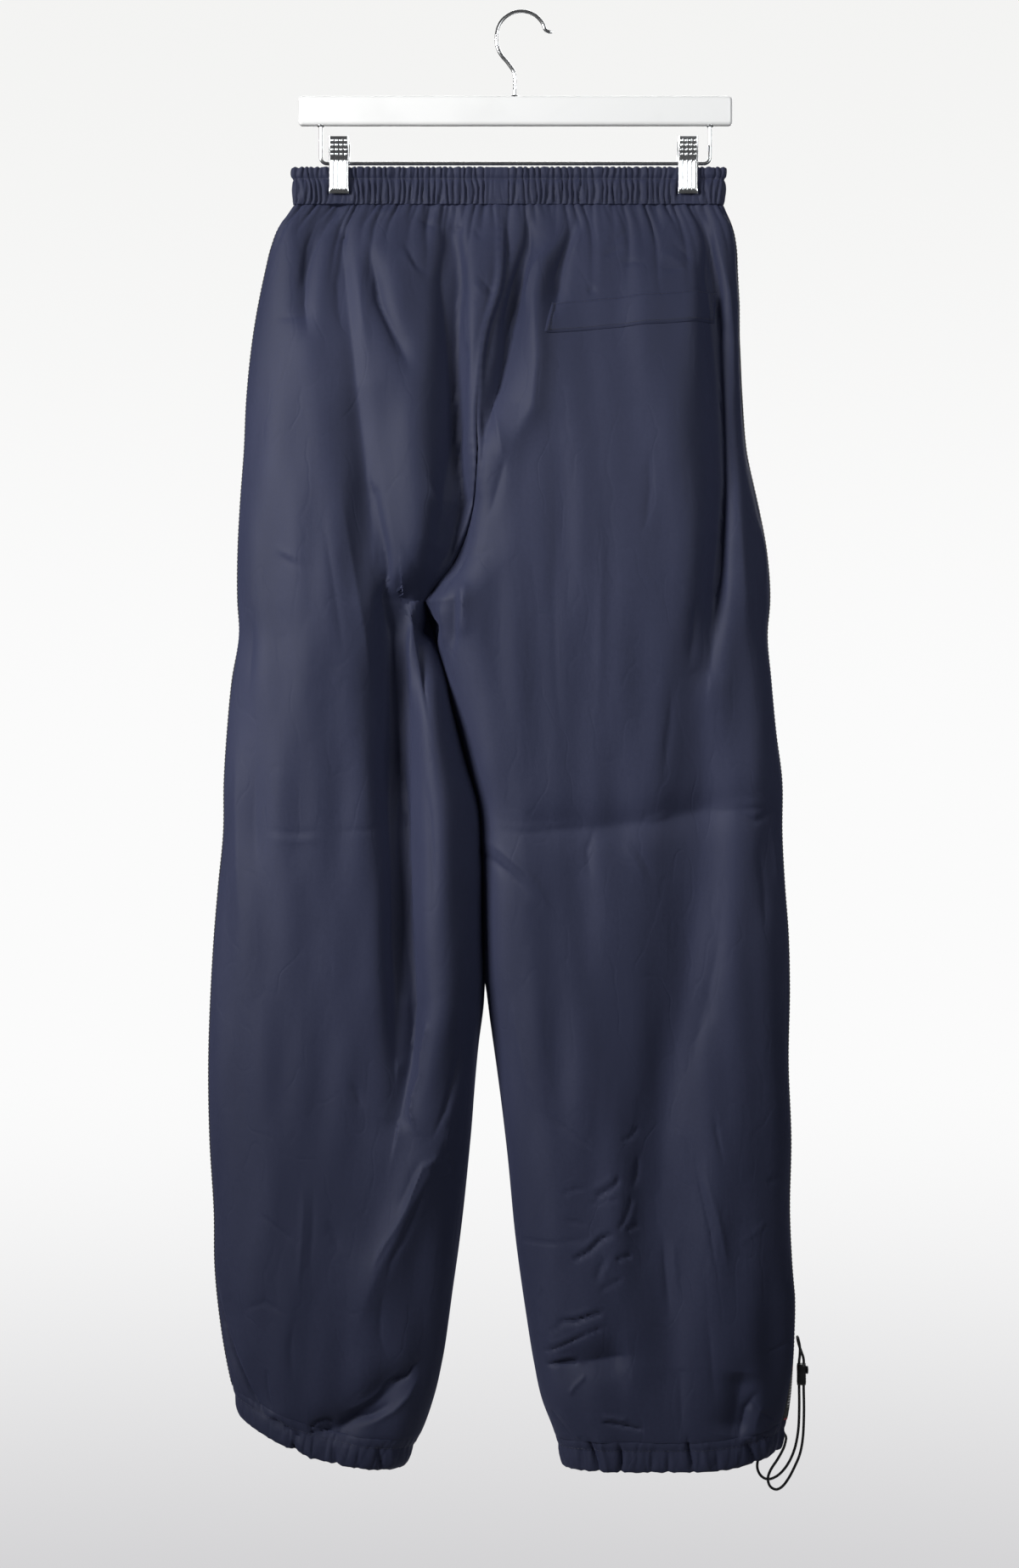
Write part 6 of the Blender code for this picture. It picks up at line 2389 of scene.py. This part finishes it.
@dataclass
class ClipJaw:
    """One jaw of a clip: a stamped plate with folded edges that bears on the rod."""

    side: Side
    face: Face
    place: float
    grip: float = 6.4
    thickness: float = 1.1
    width: float = 16.0
    bottom: float = -147.0
    top: float = -102.0
    rod_height: float = -121.4
    rod_reach: float = 1.8
    flare: float = 3.2
    fold: float = 2.6
    fold_round: float = 1.2
    rows: int = 80
    plate_columns: int = 50

    def section(self) -> tuple[Array, Array, Array]:
        """The plate's cross-section: places across, depths behind the plate, and plate share.

        Returns:
            The three lists, one number for each point of the section.
        """
        half = self.width / 2
        flat = half - self.fold_round
        turns = np.linspace(0, math.pi / 2, 6)[1:]
        side_y = np.linspace(self.fold_round, self.fold, 4)[1:]
        right_x = np.concatenate((flat + self.fold_round * np.sin(turns), np.full(len(side_y), half)))
        right_y = np.concatenate((self.fold_round * (1 - np.cos(turns)), side_y))
        across = np.concatenate((-right_x[::-1], np.linspace(-flat, flat, self.plate_columns), right_x))
        behind = np.concatenate((right_y[::-1], np.zeros(self.plate_columns), right_y))
        plate = np.pad(np.ones(self.plate_columns), len(right_x))
        return across, behind, plate

    def build(self, tool: StampedJaw) -> None:
        """Make the jaw, and press its ribs and dimples with the tool.

        Args:
            tool: The tree that presses it.
        """
        across, behind, plate = self.section()
        rows, columns, sign = self.rows, len(across), self.face.value
        up = np.linspace(self.bottom, self.top, rows)[::-1]
        lean = self.flare * ease(up, self.rod_height - 3, self.top) ** 0.9
        lip = 1.3 * np.exp(-((up - self.bottom) / 1.3) ** 2)
        fade = 1 - 0.75 * np.exp(-((up - self.bottom) / 3.0) ** 2)
        depth = self.grip + self.thickness + 0.9 + lean
        y = depth[:, None] - lip[:, None] * 0.5 - behind[None, :] * fade[:, None]
        outer = np.stack((np.tile(self.place + across, (rows, 1)), sign * y,
                          np.repeat(up[:, None], columns, axis=1)), axis=-1)
        away = np.cross(np.gradient(outer, axis=0), np.gradient(outer, axis=1)) * -sign
        away /= np.linalg.norm(away, axis=2, keepdims=True)
        away *= np.sign(away[rows // 2, columns // 2, 1] * sign)
        name = f"clip_{self.side.word}_{self.face.word}"
        mesh = shell(name, outer, outer - away * 0.8, away)
        give(mesh, "across", np.tile(np.tile(across, rows) * MM, 2))
        give(mesh, "up", np.tile(np.repeat((up - self.bottom) * MM, columns), 2))
        give(mesh, "plate", np.tile(np.tile(plate, rows), 2))
        give(mesh, "away", np.concatenate((away.reshape(-1, 3),) * 2))
        parts = [tool.apply(mesh, CHROME)]
        places = self.place + np.linspace(-1, 1, 12) * (self.width / 2 - 1.0)
        for reach, height, radius in ((self.grip + 0.75, self.bottom + 1.6, 0.75),
                                      (self.rod_reach + 1.1, self.rod_height, 1.1)):
            parts.append(tube("bar", [(x, sign * reach, height) for x in places], radius))
        new_piece(f"{name}_stamped", joined(name, parts), CHROME, (name,))


# --- Camera, light and floor ---


@dataclass
class Studio:
    """The camera, the soft lights, the pale surroundings and the floor; sizes in metres."""

    look_at: Point = (-0.0096, 0.0, -0.622)
    camera_distance: float = 2.2
    lens: float = 62.6
    sensor: float = 36.0
    floor_height: float = -1.95
    floor_radius: float = 2.2
    # The seen backdrop is painted darker towards the bottom and a little towards the top: painted shade of
    # the studio light's falloff.
    sky: Colour = (0.90, 0.90, 0.89)
    horizon: Colour = (0.965, 0.965, 0.965)
    ground: Colour = (0.59, 0.585, 0.60)
    ambient: float = 0.06

    def camera(self) -> None:
        """Make the camera at the photograph's viewing angle, square on to the garment's back."""
        data = bpy.data.cameras.new("view")
        data.lens, data.sensor_width = self.lens, self.sensor
        data.dof.use_dof = False
        made = placed("view", data)
        made.location = Vector(self.look_at) - Vector((0.0, self.camera_distance, 0.0))
        made.rotation_euler = (math.pi / 2, 0.0, 0.0)
        bpy.context.scene.camera = made

    def light(self, name: str, place: Point, size: float, power: float, tint: Colour = (1.0, 1.0, 1.0),
              target: Point = (0.0, 0.0, -0.5), spread: float = 180.0) -> None:
        """Make a square soft light.

        Args:
            name: Its name.
            place: Where it stands.
            size: Its side.
            power: Its power in watts.
            tint: Its colour.
            target: The point it faces.
            spread: The angle of its beam in degrees.
        """
        data = bpy.data.lights.new(name, "AREA")
        data.energy, data.size, data.color = power, size, tint
        data.spread = math.radians(spread)
        made = placed(name, data)
        made.location = place
        made.rotation_euler = (Vector(target) - Vector(place)).to_track_quat("-Z", "Y").to_euler()

    def surroundings(self) -> None:
        """Make a pale gradient that is seen, painted darker towards the bottom and a little towards the top
        as painted shade, and a dimmer even light that falls on the object.
        """
        world = bpy.data.worlds.new("pale_studio")
        bpy.context.scene.world = world
        world.use_nodes = True
        sketch = NodeSketch(world.node_tree)
        height = sketch.parts(sketch.place("Generated"))[2]
        low = sketch.mixed(sketch.rise(height, -0.34, -0.10), self.ground, self.horizon)
        seen = sketch.mixed(sketch.rise(height, 0.0, 0.3), low, self.sky)
        shown = sketch.add("ShaderNodeBackground", seen, 1.0).outputs[0]
        lit = sketch.add("ShaderNodeBackground", (1.0, 1.0, 1.02, 1.0), self.ambient).outputs[0]
        ray = sketch.add("ShaderNodeLightPath").outputs["Is Camera Ray"]
        both = sketch.add("ShaderNodeMixShader", ray, lit, shown).outputs[0]
        sketch.feed(world.node_tree.nodes["World Output"].inputs["Surface"], both)

    def floor(self) -> None:
        """Make a round pale floor well below the garment."""
        radius, depth = self.floor_radius / MM, -20.0
        mesh = turned_form("floor", ((0, 0), (radius, 0), (radius, depth), (0, depth)),
                           (0, 0, self.floor_height / MM), (0, 0, 1), 96)
        mesh.materials.append(FloorFinish().material())
        placed("floor", mesh)

    def build(self) -> None:
        """Make the lights, the surroundings and the floor."""
        bpy.context.scene.view_settings.view_transform = "Standard"
        self.light("key", (-1.45, -1.10, 0.10), 0.6, 8.2, target=(0.10, 0.0, -0.58), spread=68.0)
        self.light("fill", (0.95, -1.25, 0.15), 0.9, 2.4, (0.96, 0.98, 1.0), (0.0, 0.0, -0.35), 72.0)
        self.light("rim", (0.3, 1.7, 0.6), 1.6, 38.0)
        self.surroundings()
        self.floor()


# Each stretch's lowest height and its rows.
BACK_STRETCHES = ((-232.5, 45), (-258.0, 15), (-300.0, 21), (-480.0, 78), (-640.0, 51), (-690.0, 24),
                  (-860.0, 54), (-1060.0, 93), (-1146.65, 60))
FRONT_STRETCHES = ((-300.0, 60), (-480.0, 48), (-640.0, 36), (-690.0, 18), (-1060.0, 99),
                   (-1146.65, 39))
BACK_COLUMNS, FRONT_COLUMNS = 196, 142


def main() -> None:
    """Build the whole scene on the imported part."""
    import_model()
    studio = Studio()
    studio.camera()

    form = GarmentForm()
    for side, place, places, turn, length in (
            (Side.LEFT, (-237.0, 20.4, -1076.0), (27.0, 40.0), 1.0, 0.193),
            (Side.RIGHT, (226.9, 8.6, -1100.0), (15.0, 28.0), -1.0, 0.377)):
        Drawcord(form, side, CordLock(side, place), places, turn, length).build()

    stitches, gathers, stamp = StitchRun(), ElasticGathers(), StampedJaw()
    Waistband(form).build(gathers, stitches)
    for side in Side:
        back = Panel(form, Face.BACK, side, BACK_STRETCHES, BACK_COLUMNS, (0.34, 1.03), 0.27)
        front = Panel(form, Face.FRONT, side, FRONT_STRETCHES, FRONT_COLUMNS, (0.31, 1.00), 0.25)
        back.build()
        front.build()
        HemCasing(form, side).build(gathers, stitches)
        SideTape(front).build(stitches)
        PocketEdge(front).build()
        if side is Side.RIGHT:
            PocketWelt(back).build(stitches)

    Hanger().build()
    for side, place in CLIP_PLACES.items():
        for face in Face:
            ClipJaw(side, face, place).build(stamp)
    studio.build()


if __name__ == "__main__":
    logging.basicConfig(level=logging.INFO, format="%(message)s")
    main()
